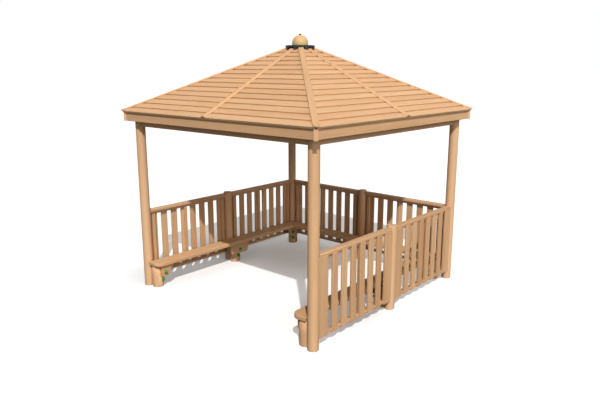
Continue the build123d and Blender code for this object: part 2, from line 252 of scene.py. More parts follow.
def straight_boards(origin: np.ndarray, along: np.ndarray, across: np.ndarray, section: np.ndarray,
                    start: float | np.ndarray, finish: float | np.ndarray, ease: float = END_EASE) -> Shell:
    """Boards of one section carried along straight lines, with cut and eased ends.

    A point is the origin plus along times its length, plus across and out times its place in the
    section. Out is along crossed with across. The end rings are drawn in by the ease, and the rings
    beside them stand that far in from the cut.

    Args:
        origin: Point on each board's line, (boards, 3).
        along: Unit direction of the length, (3,) or (boards, 3).
        across: Unit direction of the section's first axis, of the same shape.
        section: Anticlockwise outline, (points, 2) or (boards, points, 2).
        start: Length at which each outline point starts, (points,) or (boards, points) or a number.
        finish: Length at which each outline point ends, likewise.
        ease: How much the end edges are rounded.

    Returns:
        The boards as one shell.
    """
    origin = np.atleast_2d(origin)
    boards = len(origin)
    section = np.broadcast_to(section, (boards, *np.shape(section)[-2:]))
    points = section.shape[1]
    along = np.broadcast_to(along, (boards, 3))[:, None, None]
    across = np.broadcast_to(across, (boards, 3))[:, None, None]
    out = np.cross(along, across)
    start = np.broadcast_to(start, (boards, points))
    finish = np.broadcast_to(finish, (boards, points))
    length = np.stack([start, start + ease, finish - ease, finish], axis=1)
    low, high = section.min(1, keepdims=True), section.max(1, keepdims=True)
    middle = (low + high) / 2
    drawn_in = middle + (section - middle) * (1 - 2 * ease / (high - low))
    outline = np.stack([drawn_in, section, section, drawn_in], axis=1)
    place = along * length[..., None] + across * outline[..., :1] + out * outline[..., 1:]
    first, last = start.min(1), finish.max(1)
    middle_length = ((last + first) / 2)[:, None, None]
    grain = np.concatenate([(length - middle_length)[..., None], outline - middle[:, None]], axis=-1)
    half = np.column_stack([(last - first) / 2, (high - low)[:, 0] / 2])
    soft_rings = np.array([True, False, True])
    return Shell(origin[:, None, None] + place, grain, half, arc_flags(points), soft_rings)


def turned(profile: Points, centre: np.ndarray, axis: np.ndarray, segments: int) -> Shell:
    """Round pieces: a profile of radius and height turned about an axis.

    A point is the centre plus the axis times its height, plus its radius times the cosine and sine
    of its turn on two directions square to the axis.

    Args:
        profile: Radius and height of each ring, from the foot up.
        centre: Middle of each piece's foot, (pieces, 3).
        axis: Unit direction of height, (3,) or (pieces, 3).
        segments: Points in each ring.

    Returns:
        The pieces as one shell.
    """
    radius, height = np.asarray(profile, float).T
    centre = np.atleast_2d(centre)[:, None, None]
    axis = np.broadcast_to(axis, (len(centre), 3))
    aside = np.where(np.abs(axis[:, 2:]) > STEEP, X_AXIS, UP)
    first = unit(np.cross(aside, axis))
    second = np.cross(axis, first)
    turn = np.arange(segments) * 2 * math.pi / segments
    x = radius[:, None] * np.cos(turn)
    y = radius[:, None] * np.sin(turn)
    z = np.broadcast_to(height[:, None], x.shape)
    ways = ((first, x), (second, y), (axis, z))
    rings = centre + sum(way[:, None, None] * share[None, :, :, None] for way, share in ways)
    middle = (height.min() + height.max()) / 2
    grain = np.broadcast_to(np.stack([z - middle, x, y], axis=-1), rings.shape)
    half = np.broadcast_to([height.max() - middle, 1.0, 1.0], (len(centre), 3))
    return Shell(rings, grain, half, np.ones(segments, bool), np.ones(len(radius) - 1, bool))


def mitre_directions(outline: np.ndarray) -> np.ndarray:
    """Outward steps that move every edge of an outline out by one.

    Each is the sum of the two edge normals at a point, over one plus their product.

    Args:
        outline: Anticlockwise points, (points, 2).

    Returns:
        One vector for each point.
    """
    edge = unit(np.roll(outline, -1, 0) - outline)
    ahead = np.stack([edge[:, 1], -edge[:, 0]], axis=1)
    back = np.roll(ahead, 1, 0)
    return (ahead + back) / (1 + np.sum(ahead * back, 1, keepdims=True))


def slab(outline: np.ndarray, origin: np.ndarray, right: np.ndarray, upward: np.ndarray, depth: float,
         ease: float, along: int = 0, soft: np.ndarray | None = None) -> Shell:
    """A flat piece: an outline given depth, with both rims rounded.

    The rings climb a quarter circle at each rim. A ring's inset is the ease times one minus the sine
    of its turn, and its height is the ease times one minus the cosine.

    Args:
        outline: Anticlockwise points, (points, 2).
        origin: Place of the outline's zero.
        right: Unit direction of the outline's first axis.
        upward: Unit direction of its second axis.
        depth: Thickness, along right crossed with upward.
        ease: Radius of the rims.
        along: Which axis of the outline the grain follows, 0 or 1.
        soft: Which strips of the outline are round, by default those of eased corners.

    Returns:
        The piece as a shell of one board.
    """
    turn = np.linspace(0, math.pi / 2, ARC_STEPS + 1)
    inset = ease * (1 - np.sin(turn))
    climb = ease * (1 - np.cos(turn))
    inset = np.concatenate([inset, inset[::-1]])
    height = np.concatenate([climb, depth - climb[::-1]])
    flat = outline[None] - mitre_directions(outline)[None] * inset[:, None, None]
    rise = np.broadcast_to(height[:, None, None], (*flat.shape[:2], 1))
    local = np.concatenate([flat, rise], axis=-1)
    rings = origin + local @ np.stack([right, upward, np.cross(right, upward)])
    low, high = local.reshape(-1, 3).min(0), local.reshape(-1, 3).max(0)
    order = [along, 1 - along, 2]
    grain = (local - (low + high) / 2)[..., order]
    soft_rings = np.ones(len(height) - 1, bool)
    soft_rings[ARC_STEPS] = False
    soft_points = arc_flags(len(outline)) if soft is None else soft
    return Shell(rings[None], grain[None], ((high - low) / 2)[order][None], soft_points, soft_rings)


@dataclass
class TimberYard:
    """Hands out each board's own tone and its place in the log.

    Attributes:
        draw: Source of the draws.
        tone_spread: Deviation of the boards' tones.
        pith_low: Least place along the log, and least offsets from its heart.
        pith_high: Most of each.
    """

    draw: np.random.Generator
    tone_spread: float = 0.5
    pith_low: Triple = (0.0, -0.05, 0.03)
    pith_high: Triple = (40.0, 0.05, 0.11)

    def tones(self, boards: int) -> np.ndarray:
        """Lightness of each board, about zero."""
        return np.clip(self.draw.normal(0.0, self.tone_spread, boards), -1.0, 1.0)

    def piths(self, boards: int) -> np.ndarray:
        """Each board's place along its log and offset from the heart."""
        return self.draw.uniform(self.pith_low, self.pith_high, (boards, 3))


@dataclass
class Piece:
    """One piece of the visual model.

    Attributes:
        name: Name of the object.
        shells: What it is made of.
        yard: Where its boards come from.
    """

    name: str
    shells: list[Shell]
    yard: TimberYard

    def mesh(self) -> bpy.types.Mesh:
        """Join the shells into a mesh with its grain attributes.

        Returns:
            The new mesh.
        """
        first = 0
        corners, sizes, smooth = [], [], []
        columns: dict[str, list[np.ndarray]] = {}
        for shell in self.shells:
            boards, rings, points, _ = shell.rings.shape
            each = rings * points
            quads, ends, quad_smooth = shell.faces(first)
            corners += [quads.ravel(), ends.ravel()]
            sizes += [np.full(len(quads), 4), np.full(len(ends), points)]
            smooth += [quad_smooth, np.zeros(len(ends), bool)]
            stock = {"grain_at": shell.grain.reshape(-1, 3),
                     "grain_pith": np.repeat(self.yard.piths(boards), each, axis=0),
                     "stock_half": np.repeat(shell.half, each, axis=0),
                     "tone": np.repeat(self.yard.tones(boards), each)}
            for name, values in stock.items():
                columns.setdefault(name, []).append(values)
            first += boards * each
        places = np.concatenate([shell.rings.reshape(-1, 3) for shell in self.shells])
        corner_list = np.concatenate(corners)
        size_list = np.concatenate(sizes)
        mesh = bpy.data.meshes.new(self.name)
        mesh.vertices.add(len(places))
        mesh.vertices.foreach_set("co", places.ravel())
        mesh.loops.add(len(corner_list))
        mesh.loops.foreach_set("vertex_index", corner_list)
        mesh.polygons.add(len(size_list))
        mesh.polygons.foreach_set("loop_start", np.cumsum(size_list) - size_list)
        mesh.polygons.foreach_set("use_smooth", np.concatenate(smooth))
        mesh.update(calc_edges=True)
        for name, parts in columns.items():
            values = np.concatenate(parts)
            kind, key = ("FLOAT", "value") if values.ndim == 1 else ("FLOAT_VECTOR", "vector")
            mesh.attributes.new(name, kind, "POINT").data.foreach_set(key, values.astype(np.float32).ravel())
        return mesh

    def place(self, material: bpy.types.Material, slot: Slot, *nodes: str) -> None:
        """Make the object, dress it and let it stand for its nodes.

        Args:
            material: Its finish.
            slot: The record's slot for that finish; not used.
            nodes: Nodes that it replaces.
        """
        made = bpy.data.objects.new(self.name, self.mesh())
        made.data.materials.append(material)
        bpy.context.scene.collection.objects.link(made)
        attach(made, BODY)
        if nodes:
            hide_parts(*nodes)
        stood_for = ", ".join(nodes) or "no node"
        LOG.info("%s: %d faces, stands for %s", self.name, len(made.data.polygons), stood_for)


# Finishes


def tint(red: int, green: int, blue: int) -> tuple[float, float, float, float]:
    """Linear colour from screen values between 0 and 255, by the sRGB curve.

    Args:
        red: Red value.
        green: Green value.
        blue: Blue value.

    Returns:
        The colour with full cover.
    """
    shares = np.array([red, green, blue]) / 255
    linear = np.where(shares <= 0.04045, shares / 12.92, ((shares + 0.055) / 1.055) ** 2.4)
    return (*(float(value) for value in linear), 1.0)


class Wiring:
    """Adds nodes to a shader tree and joins them up."""

    def __init__(self, tree: bpy.types.NodeTree) -> None:
        """Work on a tree."""
        self.tree = tree

    def feed(self, node: bpy.types.Node, inputs: dict[int | str, Feed]) -> None:
        """Join sockets to a node's inputs, or set values there.

        Args:
            node: The node.
            inputs: Sockets to join or values to set, by input name or number.
        """
        for key, value in inputs.items():
            if isinstance(value, Socket):
                self.tree.links.new(value, node.inputs[key])
            else:
                node.inputs[key].default_value = value

    def node(self, kind: str, inputs: dict[int | str, Feed] | None = None,
             **settings: object) -> bpy.types.Node:
        """Add a node.

        Args:
            kind: Blender's name of the node type.
            inputs: What to feed it.
            settings: Properties of the node.

        Returns:
            The node.
        """
        made = self.tree.nodes.new(kind)
        for key, value in settings.items():
            setattr(made, key, value)
        self.feed(made, inputs or {})
        return made

    def sum(self, operation: str, *values: Feed) -> Socket:
        """Result of a math node on sockets or numbers."""
        return self.node("ShaderNodeMath", dict(enumerate(values)), operation=operation).outputs[0]

    def vector(self, operation: str, *values: Feed) -> Socket:
        """Result of a vector math node on sockets or vectors."""
        return self.node("ShaderNodeVectorMath", dict(enumerate(values)), operation=operation).outputs[0]

    def blend(self, factor: Feed, first: Feed, second: Feed) -> Socket:
        """Colour between two: a mix node takes colours at inputs 6 and 7, and gives one at output 2."""
        made = self.node("ShaderNodeMix", {0: factor, 6: first, 7: second}, data_type="RGBA")
        return made.outputs[2]

    def fade(self, value: Feed, low: float, high: float) -> Socket:
        """One at the low value, zero at the high one, eased between."""
        inputs = {"Value": value, "From Min": low, "From Max": high, "To Min": 1.0, "To Max": 0.0}
        return self.node("ShaderNodeMapRange", inputs, interpolation_type="SMOOTHSTEP").outputs[0]

    def noise(self, vector: Feed, detail: float, scale: float = 1.0) -> Socket:
        """Noise between zero and one."""
        inputs = {"Vector": vector, "Scale": scale, "Detail": detail}
        return self.node("ShaderNodeTexNoise", inputs).outputs[0]

    def bump(self, height: Feed, strength: float, depth: float) -> Socket:
        """Normals tilted by a height."""
        inputs = {"Strength": strength, "Distance": depth, "Height": height}
        return self.node("ShaderNodeBump", inputs).outputs[0]

    def attribute(self, name: str, output: str) -> Socket:
        """A mesh attribute, as Vector or Fac."""
        return self.node("ShaderNodeAttribute", attribute_name=name).outputs[output]


def new_group(name: str, inputs: dict[str, str],
              outputs: dict[str, str]) -> tuple[Wiring, dict[str, Socket], bpy.types.Node]:
    """Start a shader node group.

    Args:
        name: Name of the group.
        inputs: Kind of each input socket by name, such as Float.
        outputs: Kind of each output socket by name.

    Returns:
        The wiring, the input sockets by name, and the output node.
    """
    tree = bpy.data.node_groups.new(name, "ShaderNodeTree")
    for way, sockets in (("INPUT", inputs), ("OUTPUT", outputs)):
        for socket, kind in sockets.items():
            tree.interface.new_socket(name=socket, in_out=way, socket_type=f"NodeSocket{kind}")
    wiring = Wiring(tree)
    entry = wiring.node("NodeGroupInput")
    return wiring, {socket: entry.outputs[socket] for socket in inputs}, wiring.node("NodeGroupOutput")


@dataclass(frozen=True)
class TimberFigure:
    """The figure of softwood, worked out through the solid.

    Growth rings are even steps of the distance from the heart of the log, which sways along it and
    swells round knots. Fine fibre and broad streaks run along the grain.

    Attributes:
        sway: How far the heart wanders.
        swell: How far rings bulge round a knot.
        knot_core: Where a knot's colour starts to fade and ends, in cells.
        knot_bulge: Where the bulge round it starts to fade and ends.
        crowding: Power that crowds late wood into the end of a ring.
        fibre_share: How strongly the fibre shows.
        streak_share: How strongly the streaks show.
        ground: Shade of plain wood, between light and dark.
        knot_share: How strongly a knot colours.
        rough: Roughness that the fibre adds, and the least.
        ridges: Height of late wood and of fibre.
    """

    sway: float = 0.018
    swell: float = 0.012
    knot_core: tuple[float, float] = (0.05, 0.13)
    knot_bulge: tuple[float, float] = (0.05, 0.5)
    crowding: float = 2.2
    fibre_share: float = 0.5
    streak_share: float = 0.9
    ground: float = 0.35
    knot_share: float = 0.8
    rough: tuple[float, float] = (0.2, 0.5)
    ridges: tuple[float, float] = (-0.4, 0.6)

    def build(self) -> bpy.types.NodeTree:
        """Make the node group.

        Returns:
            The group.
        """
        sockets = {"At": "Vector", "Pith": "Vector", "Tone": "Float", "Ring Spacing": "Float",
                   "Figure": "Float", "Knots": "Float", "Light": "Color", "Dark": "Color",
                   "Knot Colour": "Color"}
        wiring, given, result = new_group(
            "Timber figure", sockets, {"Colour": "Color", "Roughness": "Float", "Height": "Float"})
        at = wiring.vector("ADD", given["At"], given["Pith"])

        def drawn_out(along: float, across: float) -> Socket:
            """The place in the log, with so many marks to a metre along the grain and across it."""
            return wiring.vector("MULTIPLY", at, (along, across, across))

        sway = wiring.noise(drawn_out(0.8, 7.0), 1.5)
        fibre = wiring.noise(drawn_out(6.0, 420.0), 2.0)
        streak = wiring.noise(drawn_out(0.9, 14.0), 3.0)
        cells = wiring.node("ShaderNodeTexVoronoi", {"Vector": drawn_out(3.2, 11.0), "Scale": 1.0}).outputs
        chance = wiring.node("ShaderNodeSeparateColor", {0: cells["Color"]}).outputs[0]
        kept = wiring.sum("LESS_THAN", chance, given["Knots"])
        core = wiring.sum("MULTIPLY", wiring.fade(cells["Distance"], *self.knot_core), kept)
        bulge = wiring.sum("MULTIPLY", wiring.fade(cells["Distance"], *self.knot_bulge), kept)
        _, across, out = wiring.node("ShaderNodeSeparateXYZ", {0: at}).outputs
        squared = wiring.sum("ADD", wiring.sum("POWER", across, 2.0), wiring.sum("POWER", out, 2.0))
        distance = wiring.sum("ADD", wiring.sum("SQRT", squared), wiring.sum("MULTIPLY", sway, self.sway))
        distance = wiring.sum("ADD", distance, wiring.sum("MULTIPLY", bulge, self.swell))
        ring = wiring.sum("FRACT", wiring.sum("DIVIDE", distance, given["Ring Spacing"]))
        late = wiring.sum("POWER", ring, self.crowding)
        shade = wiring.sum("MULTIPLY_ADD", late, given["Figure"], given["Tone"])
        for marks, share in ((fibre, self.fibre_share), (streak, self.streak_share)):
            shade = wiring.sum("MULTIPLY_ADD", wiring.sum("SUBTRACT", marks, 0.5), share, shade)
        shade = wiring.sum("MINIMUM", wiring.sum("ADD", shade, self.ground), 1.0)
        shade = wiring.sum("MAXIMUM", shade, 0.0)
        colour = wiring.blend(shade, given["Light"], given["Dark"])
        colour = wiring.blend(wiring.sum("MULTIPLY", core, self.knot_share), colour, given["Knot Colour"])
        rough = wiring.sum("MULTIPLY_ADD", fibre, *self.rough)
        late_ridge, fibre_ridge = self.ridges
        height = wiring.sum("MULTIPLY_ADD", late, late_ridge, wiring.sum("MULTIPLY", fibre, fibre_ridge))
        wiring.feed(result, {"Colour": colour, "Roughness": rough, "Height": height})
        return wiring.tree


def stock_edges() -> bpy.types.NodeTree:
    """Group for masks of a board's arrises and sawn ends.

    The distance to the nearest arris is the middle one of the three distances to the board's faces.

    Returns:
        The node group.
    """
    wiring, given, result = new_group(
        "Stock edges", {"At": "Vector", "Half": "Vector", "Width": "Float"},
        {"Arris": "Float", "End": "Float"})
    room = wiring.vector("SUBTRACT", given["Half"], wiring.vector("ABSOLUTE", given["At"]))
    x, y, z = wiring.node("ShaderNodeSeparateXYZ", {0: room}).outputs
    lesser, greater = wiring.sum("MINIMUM", x, y), wiring.sum("MAXIMUM", x, y)
    middle = wiring.sum("MAXIMUM", lesser, wiring.sum("MINIMUM", greater, z))
    share = wiring.sum("DIVIDE", middle, given["Width"])
    wiring.feed(result, {"Arris": wiring.fade(share, 0.0, 1.0), "End": wiring.fade(x, 0.0, END_BAND)})
    return wiring.tree


def empty_tree(owner: bpy.types.Material | bpy.types.World) -> Wiring:
    """Give a material or world an empty node tree.

    Args:
        owner: The material or world.

    Returns:
        The tree's wiring.
    """
    owner.use_nodes = True
    owner.node_tree.nodes.clear()
    return Wiring(owner.node_tree)


def new_material(name: str) -> tuple[bpy.types.Material, Wiring, bpy.types.Node]:
    """Start a material with one principled shader.

    Args:
        name: Name of the material.

    Returns:
        The material, its wiring and the shader node.
    """
    material = bpy.data.materials.new(name)
    wiring = empty_tree(material)
    shader = wiring.node("ShaderNodeBsdfPrincipled")
    wiring.node("ShaderNodeOutputMaterial", {"Surface": shader.outputs[0]})
    return material, wiring, shader


@dataclass(frozen=True)
class TimberFinish:
    """Planed softwood under a clear preservative.

    Attributes:
        slot: The record's slot for it.
        light: Early wood, in screen values.
        dark: Late wood.
        knot: Heart of a knot.
        arris: Worn arrises.
        ring_spacing: Width of a growth ring.
        figure: How strongly the rings show.
        knots: Share of the places for a knot that hold one.
        tone_share: How far boards differ from each other.
        arris_width: Breadth of a worn arris.
        arris_share: How strongly it shows.
        end_share: How strongly sawn ends darken.
        relief: Strength and depth of the bump.
        gloss: Level of the mirror reflection.
    """

    slot: Slot
    light: Screen
    dark: Screen
    knot: Screen = (120, 72, 40)
    arris: Screen = (222, 178, 134)
    ring_spacing: float = 0.0045
    figure: float = 0.35
    knots: float = 0.05
    tone_share: float = 0.35
    arris_width: float = 0.006
    arris_share: float = 0.3
    end_share: float = 0.2
    relief: tuple[float, float] = (0.25, 0.0006)
    gloss: float = 0.12

    def build(self, figure: bpy.types.NodeTree, edges: bpy.types.NodeTree) -> bpy.types.Material:
        """Make the material.

        Args:
            figure: The timber figure group.
            edges: The stock edges group.

        Returns:
            The material.
        """
        material, wiring, shader = new_material(self.slot.value)
        at = wiring.attribute("grain_at", "Vector")
        tone = wiring.sum("MULTIPLY", wiring.attribute("tone", "Fac"), self.tone_share)
        wood = {"At": at, "Pith": wiring.attribute("grain_pith", "Vector"), "Tone": tone,
                "Ring Spacing": self.ring_spacing, "Figure": self.figure, "Knots": self.knots,
                "Light": tint(*self.light), "Dark": tint(*self.dark), "Knot Colour": tint(*self.knot)}
        stock = {"At": at, "Half": wiring.attribute("stock_half", "Vector"), "Width": self.arris_width}
        grain = wiring.node("ShaderNodeGroup", wood, node_tree=figure).outputs
        rims = wiring.node("ShaderNodeGroup", stock, node_tree=edges).outputs
        arris = wiring.sum("MULTIPLY", rims["Arris"], self.arris_share)
        end = wiring.sum("MULTIPLY", rims["End"], self.end_share)
        colour = wiring.blend(arris, grain["Colour"], tint(*self.arris))
        colour = wiring.blend(end, colour, tint(*self.dark))
        bump = wiring.bump(grain["Height"], *self.relief)
        wiring.feed(shader, {"Base Color": colour, "Roughness": grain["Roughness"], "Normal": bump,
                             "Specular IOR Level": self.gloss})
        return material


TIMBERS = (
    TimberFinish(Slot.POST, (226, 184, 142), (204, 158, 113), figure=0.25, tone_share=0.2),
    TimberFinish(Slot.FRAMING, (226, 184, 143), (204, 157, 114), figure=0.35),
    TimberFinish(Slot.ROOF_BOARD, (227, 185, 142), (204, 158, 115), figure=0.35, knots=0.02, tone_share=0.2),
    TimberFinish(Slot.TRIM, (223, 181, 138), (202, 156, 112), figure=0.3, knots=0.02, tone_share=0.2),
    TimberFinish(Slot.RAILING, (220, 180, 139), (195, 149, 106), figure=0.4),
    TimberFinish(Slot.BENCH, (224, 180, 136), (198, 149, 103), figure=0.4, tone_share=0.25),
)


@dataclass(frozen=True)
class FinialFinish:
    """Turned softwood, tan at the crown and stained yellow green where water stands at the foot.

    Attributes:
        light: Early wood, in screen values.
        dark: Late wood.
        stain: The stain.
        stain_start: How far above the foot it starts to fade.
        stain_height: How far it takes to fade.
        stain_share: How strongly it shows.
        ragged: How uneven its edge is.
        ragged_marks: Marks to a metre along that edge.
        pith: The ball's place in its log.
        ring_spacing: Width of a growth ring.
        figure: How strongly the rings show.
        relief: Strength and depth of the bump.
    """

    light: Screen = (222, 179, 130)
    dark: Screen = (207, 158, 112)
    stain: Screen = (200, 186, 112)
    stain_start: float = 0.012
    stain_height: float = 0.06
    stain_share: float = 0.8
    ragged: float = 0.02
    ragged_marks: float = 40.0
    pith: Triple = (3.0, 0.03, 0.05)
    ring_spacing: float = 0.005
    figure: float = 0.35
    relief: tuple[float, float] = (0.25, 0.0005)

    def build(self, figure: bpy.types.NodeTree, foot: float) -> bpy.types.Material:
        """Make the material.

        Args:
            figure: The timber figure group.
            foot: Height of the ball's foot.

        Returns:
            The material.
        """
        material, wiring, shader = new_material(Slot.FINIAL.value)
        at = wiring.node("ShaderNodeTexCoord").outputs["Object"]
        climb = wiring.node("ShaderNodeSeparateXYZ", {0: at}).outputs[2]
        edge = wiring.sum("MULTIPLY_ADD", wiring.noise(at, 3.0, self.ragged_marks), self.ragged, climb)
        start = foot + self.stain_start
        stained = wiring.fade(edge, start, foot + self.stain_height + self.stain_start)
        stained = wiring.sum("MULTIPLY", stained, self.stain_share)
        wood = {"At": wiring.attribute("grain_at", "Vector"), "Pith": self.pith, "Tone": 0.0,
                "Ring Spacing": self.ring_spacing, "Figure": self.figure, "Knots": 0.0,
                "Light": tint(*self.light), "Dark": tint(*self.dark), "Knot Colour": tint(*self.dark)}
        grain = wiring.node("ShaderNodeGroup", wood, node_tree=figure).outputs
        colour = wiring.blend(stained, grain["Colour"], tint(*self.stain))
        bump = wiring.bump(grain["Height"], *self.relief)
        wiring.feed(shader, {"Base Color": colour, "Roughness": grain["Roughness"], "Normal": bump})
        return material


@dataclass(frozen=True)
class CoatedFinish:
    """A smooth coat with faint mottling, for powder-coated steel and moulded plastic.

    Attributes:
        slot: The record's slot for it.
        deep: Colour in the hollows of the mottling.
        high: Colour on its crests.
        grain: Patches to a metre.
        rough: Least and most roughness.
        depth: Depth of the surface texture.
        strength: How strongly that texture shows.
        finer: How many times finer than the patches it is.
    """

    slot: Slot
    deep: Screen
    high: Screen
    grain: float
    rough: tuple[float, float]
    depth: float
    strength: float = 0.3
    finer: float = 12.0

    def build(self) -> bpy.types.Material:
        """Make the material."""
        material, wiring, shader = new_material(self.slot.value)
        at = wiring.node("ShaderNodeTexCoord").outputs["Object"]
        mottle = wiring.noise(at, 4.0, self.grain)
        fine = wiring.noise(at, 2.0, self.grain * self.finer)
        least, most = self.rough
        wiring.feed(shader, {"Base Color": wiring.blend(mottle, tint(*self.deep), tint(*self.high)),
                             "Roughness": wiring.sum("MULTIPLY_ADD", fine, most - least, least),
                             "Normal": wiring.bump(fine, self.strength, self.depth)})
        return material


COATS = (
    CoatedFinish(Slot.STEEL, (16, 19, 22), (34, 38, 42), 60.0, (0.35, 0.55), 0.0003),
    CoatedFinish(Slot.BOLT_CAP, (4, 130, 18), (14, 158, 34), 120.0, (0.3, 0.5), 0.0002),
)


class Finishes:
    """All the materials, by slot."""

    def __init__(self) -> None:
        """Build the shared groups and every material."""
        figure = TimberFigure().build()
        edges = stock_edges()
        ball_foot = span("cap_plate", UP)[1]
        self.by_slot = {timber.slot: timber.build(figure, edges) for timber in TIMBERS}
        self.by_slot[Slot.FINIAL] = FinialFinish().build(figure, ball_foot)
        self.by_slot |= {coat.slot: coat.build() for coat in COATS}

    def of(self, slot: Slot) -> bpy.types.Material:
        """The material of a slot."""
        return self.by_slot[slot]


@dataclass
class SubAssembly:
    """What every sub-assembly works with.

    Attributes:
        yard: Where its boards come from.
        finishes: The materials.
    """

    yard: TimberYard
    finishes: Finishes

    def put(self, name: str, shells: list[Shell], slot: Slot, *nodes: str) -> None:
        """Make one piece of shells.

        Args:
            name: Name of the piece.
            shells: What it is made of.
            slot: Its finish.
            nodes: Nodes that it stands for.
        """
        Piece(name, shells, self.yard).place(self.finishes.of(slot), slot, *nodes)


# Structure


@dataclass
class Posts(SubAssembly):
    """Round corner posts and the shorter mid posts of the railings."""

    foot_ease: float = 0.003
    top_ease: float = 0.006
    support: float = 0.004
    segments: int = 56

    def shell(self, node: str) -> Shell:
        """A round post: its radius is constant but for the eased foot and top.

        Args:
            node: The node it stands for.

        Returns:
            The post.
        """
        low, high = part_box(node)
        radius = (high.x - low.x) / 2
        height = high.z
        shoulder = self.top_ease / 4
        profile = [
            (radius - self.foot_ease, 0.0),
            (radius, self.foot_ease),
            (radius, self.foot_ease + self.support),
            (radius, height - self.top_ease - self.support),
            (radius, height - self.top_ease),
            (radius - shoulder, height - shoulder),
            (radius - self.top_ease, height),
        ]
        middle = np.array([(low.x + high.x) / 2, (low.y + high.y) / 2, 0.0])
        return turned(profile, middle, UP, self.segments)

    def build(self) -> None:
        """Make every post."""
        nodes = [f"corner_post_{corner.label}" for corner in Corner]
        nodes += [f"mid_post_{side.label}" for side in RAILED_SIDES]
        for node in nodes:
            self.put(f"{node}_round", [self.shell(node)], Slot.POST, node)


@dataclass(frozen=True)
class RoofForm:
    """The planes of the pyramid, with plan distances from the middle as reach.

    Attributes:
        eave_reach: Reach of the lowest boards' butts.
        eave_height: Height of those butts' top edge.
        plate_level: Top of the posts and ring beams.
        post_line: Reach of the posts' middles.
        post_radius: Radius of a post.
        pitch: Slope of a roof face.
        cladding: Thickness of a board at its butt.
        fascia_setback: Distance of the fascias' faces behind the eave.
        fascia_thickness: Thickness of a fascia.
        hip_rafter_width: Thickness of a hip rafter.
    """

    eave_reach: float
    eave_height: float
    plate_level: float
    post_line: float
    post_radius: float
    pitch: float = math.radians(27.3)
    cladding: float = 0.026
    fascia_setback: float = 0.028
    fascia_thickness: float = 0.025
    hip_rafter_width: float = 0.045

    @classmethod
    def from_frame(cls) -> "RoofForm":
        """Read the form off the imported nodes."""
        low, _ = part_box("roof_front")
        post_low, post_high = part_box("corner_post_back_right")
        return cls(
            eave_reach=-low.y,
            eave_height=low.z + cls.cladding * math.cos(cls.pitch),
            plate_level=post_high.z,
            post_line=(post_low.x + post_high.x) / 2,
            post_radius=(post_high.x - post_low.x) / 2,
        )

    @property
    def slope(self) -> float:
        """Rise of a roof face for each metre of reach."""
        return math.tan(self.pitch)

    @property
    def hip_slope(self) -> float:
        """Rise of a hip for each metre of its plan run."""
        return self.slope / DIAGONAL

    @property
    def hip_lean(self) -> float:
        """Slope of a hip."""
        return math.atan(self.hip_slope)

    @property
    def fascia_reach(self) -> float:
        """Reach of the fascias' faces."""
        return self.eave_reach - self.fascia_setback

    def top(self, reach: float | np.ndarray) -> float | np.ndarray:
        """Height of the plane through the butts of the boards."""
        return self.eave_height + (self.eave_reach - reach) * self.slope

    def rafter_top(self, reach: float | np.ndarray) -> float | np.ndarray:
        """Height of the rafters' top faces."""
        return self.top(reach) - (FIT_GAP + self.cladding) / math.cos(self.pitch)

    def up_slope(self, side: Side) -> np.ndarray:
        """Unit direction up a roof face."""
        return UP * math.sin(self.pitch) - side.outward * math.cos(self.pitch)

    def up_hip(self, corner: Corner) -> np.ndarray:
        """Unit direction up a hip."""
        return UP * math.sin(self.hip_lean) - corner.outward * math.cos(self.hip_lean)

    def eave(self, side: Side) -> np.ndarray:
        """Middle of a face's eave, on the plane of the butts."""
        return side.outward * self.eave_reach + UP * self.eave_height

    def reach_at(self, climb: np.ndarray, out: np.ndarray) -> np.ndarray:
        """Reach of points given by their climb up a face and their distance out of it."""
        return self.eave_reach - climb * math.cos(self.pitch) + out * math.sin(self.pitch)


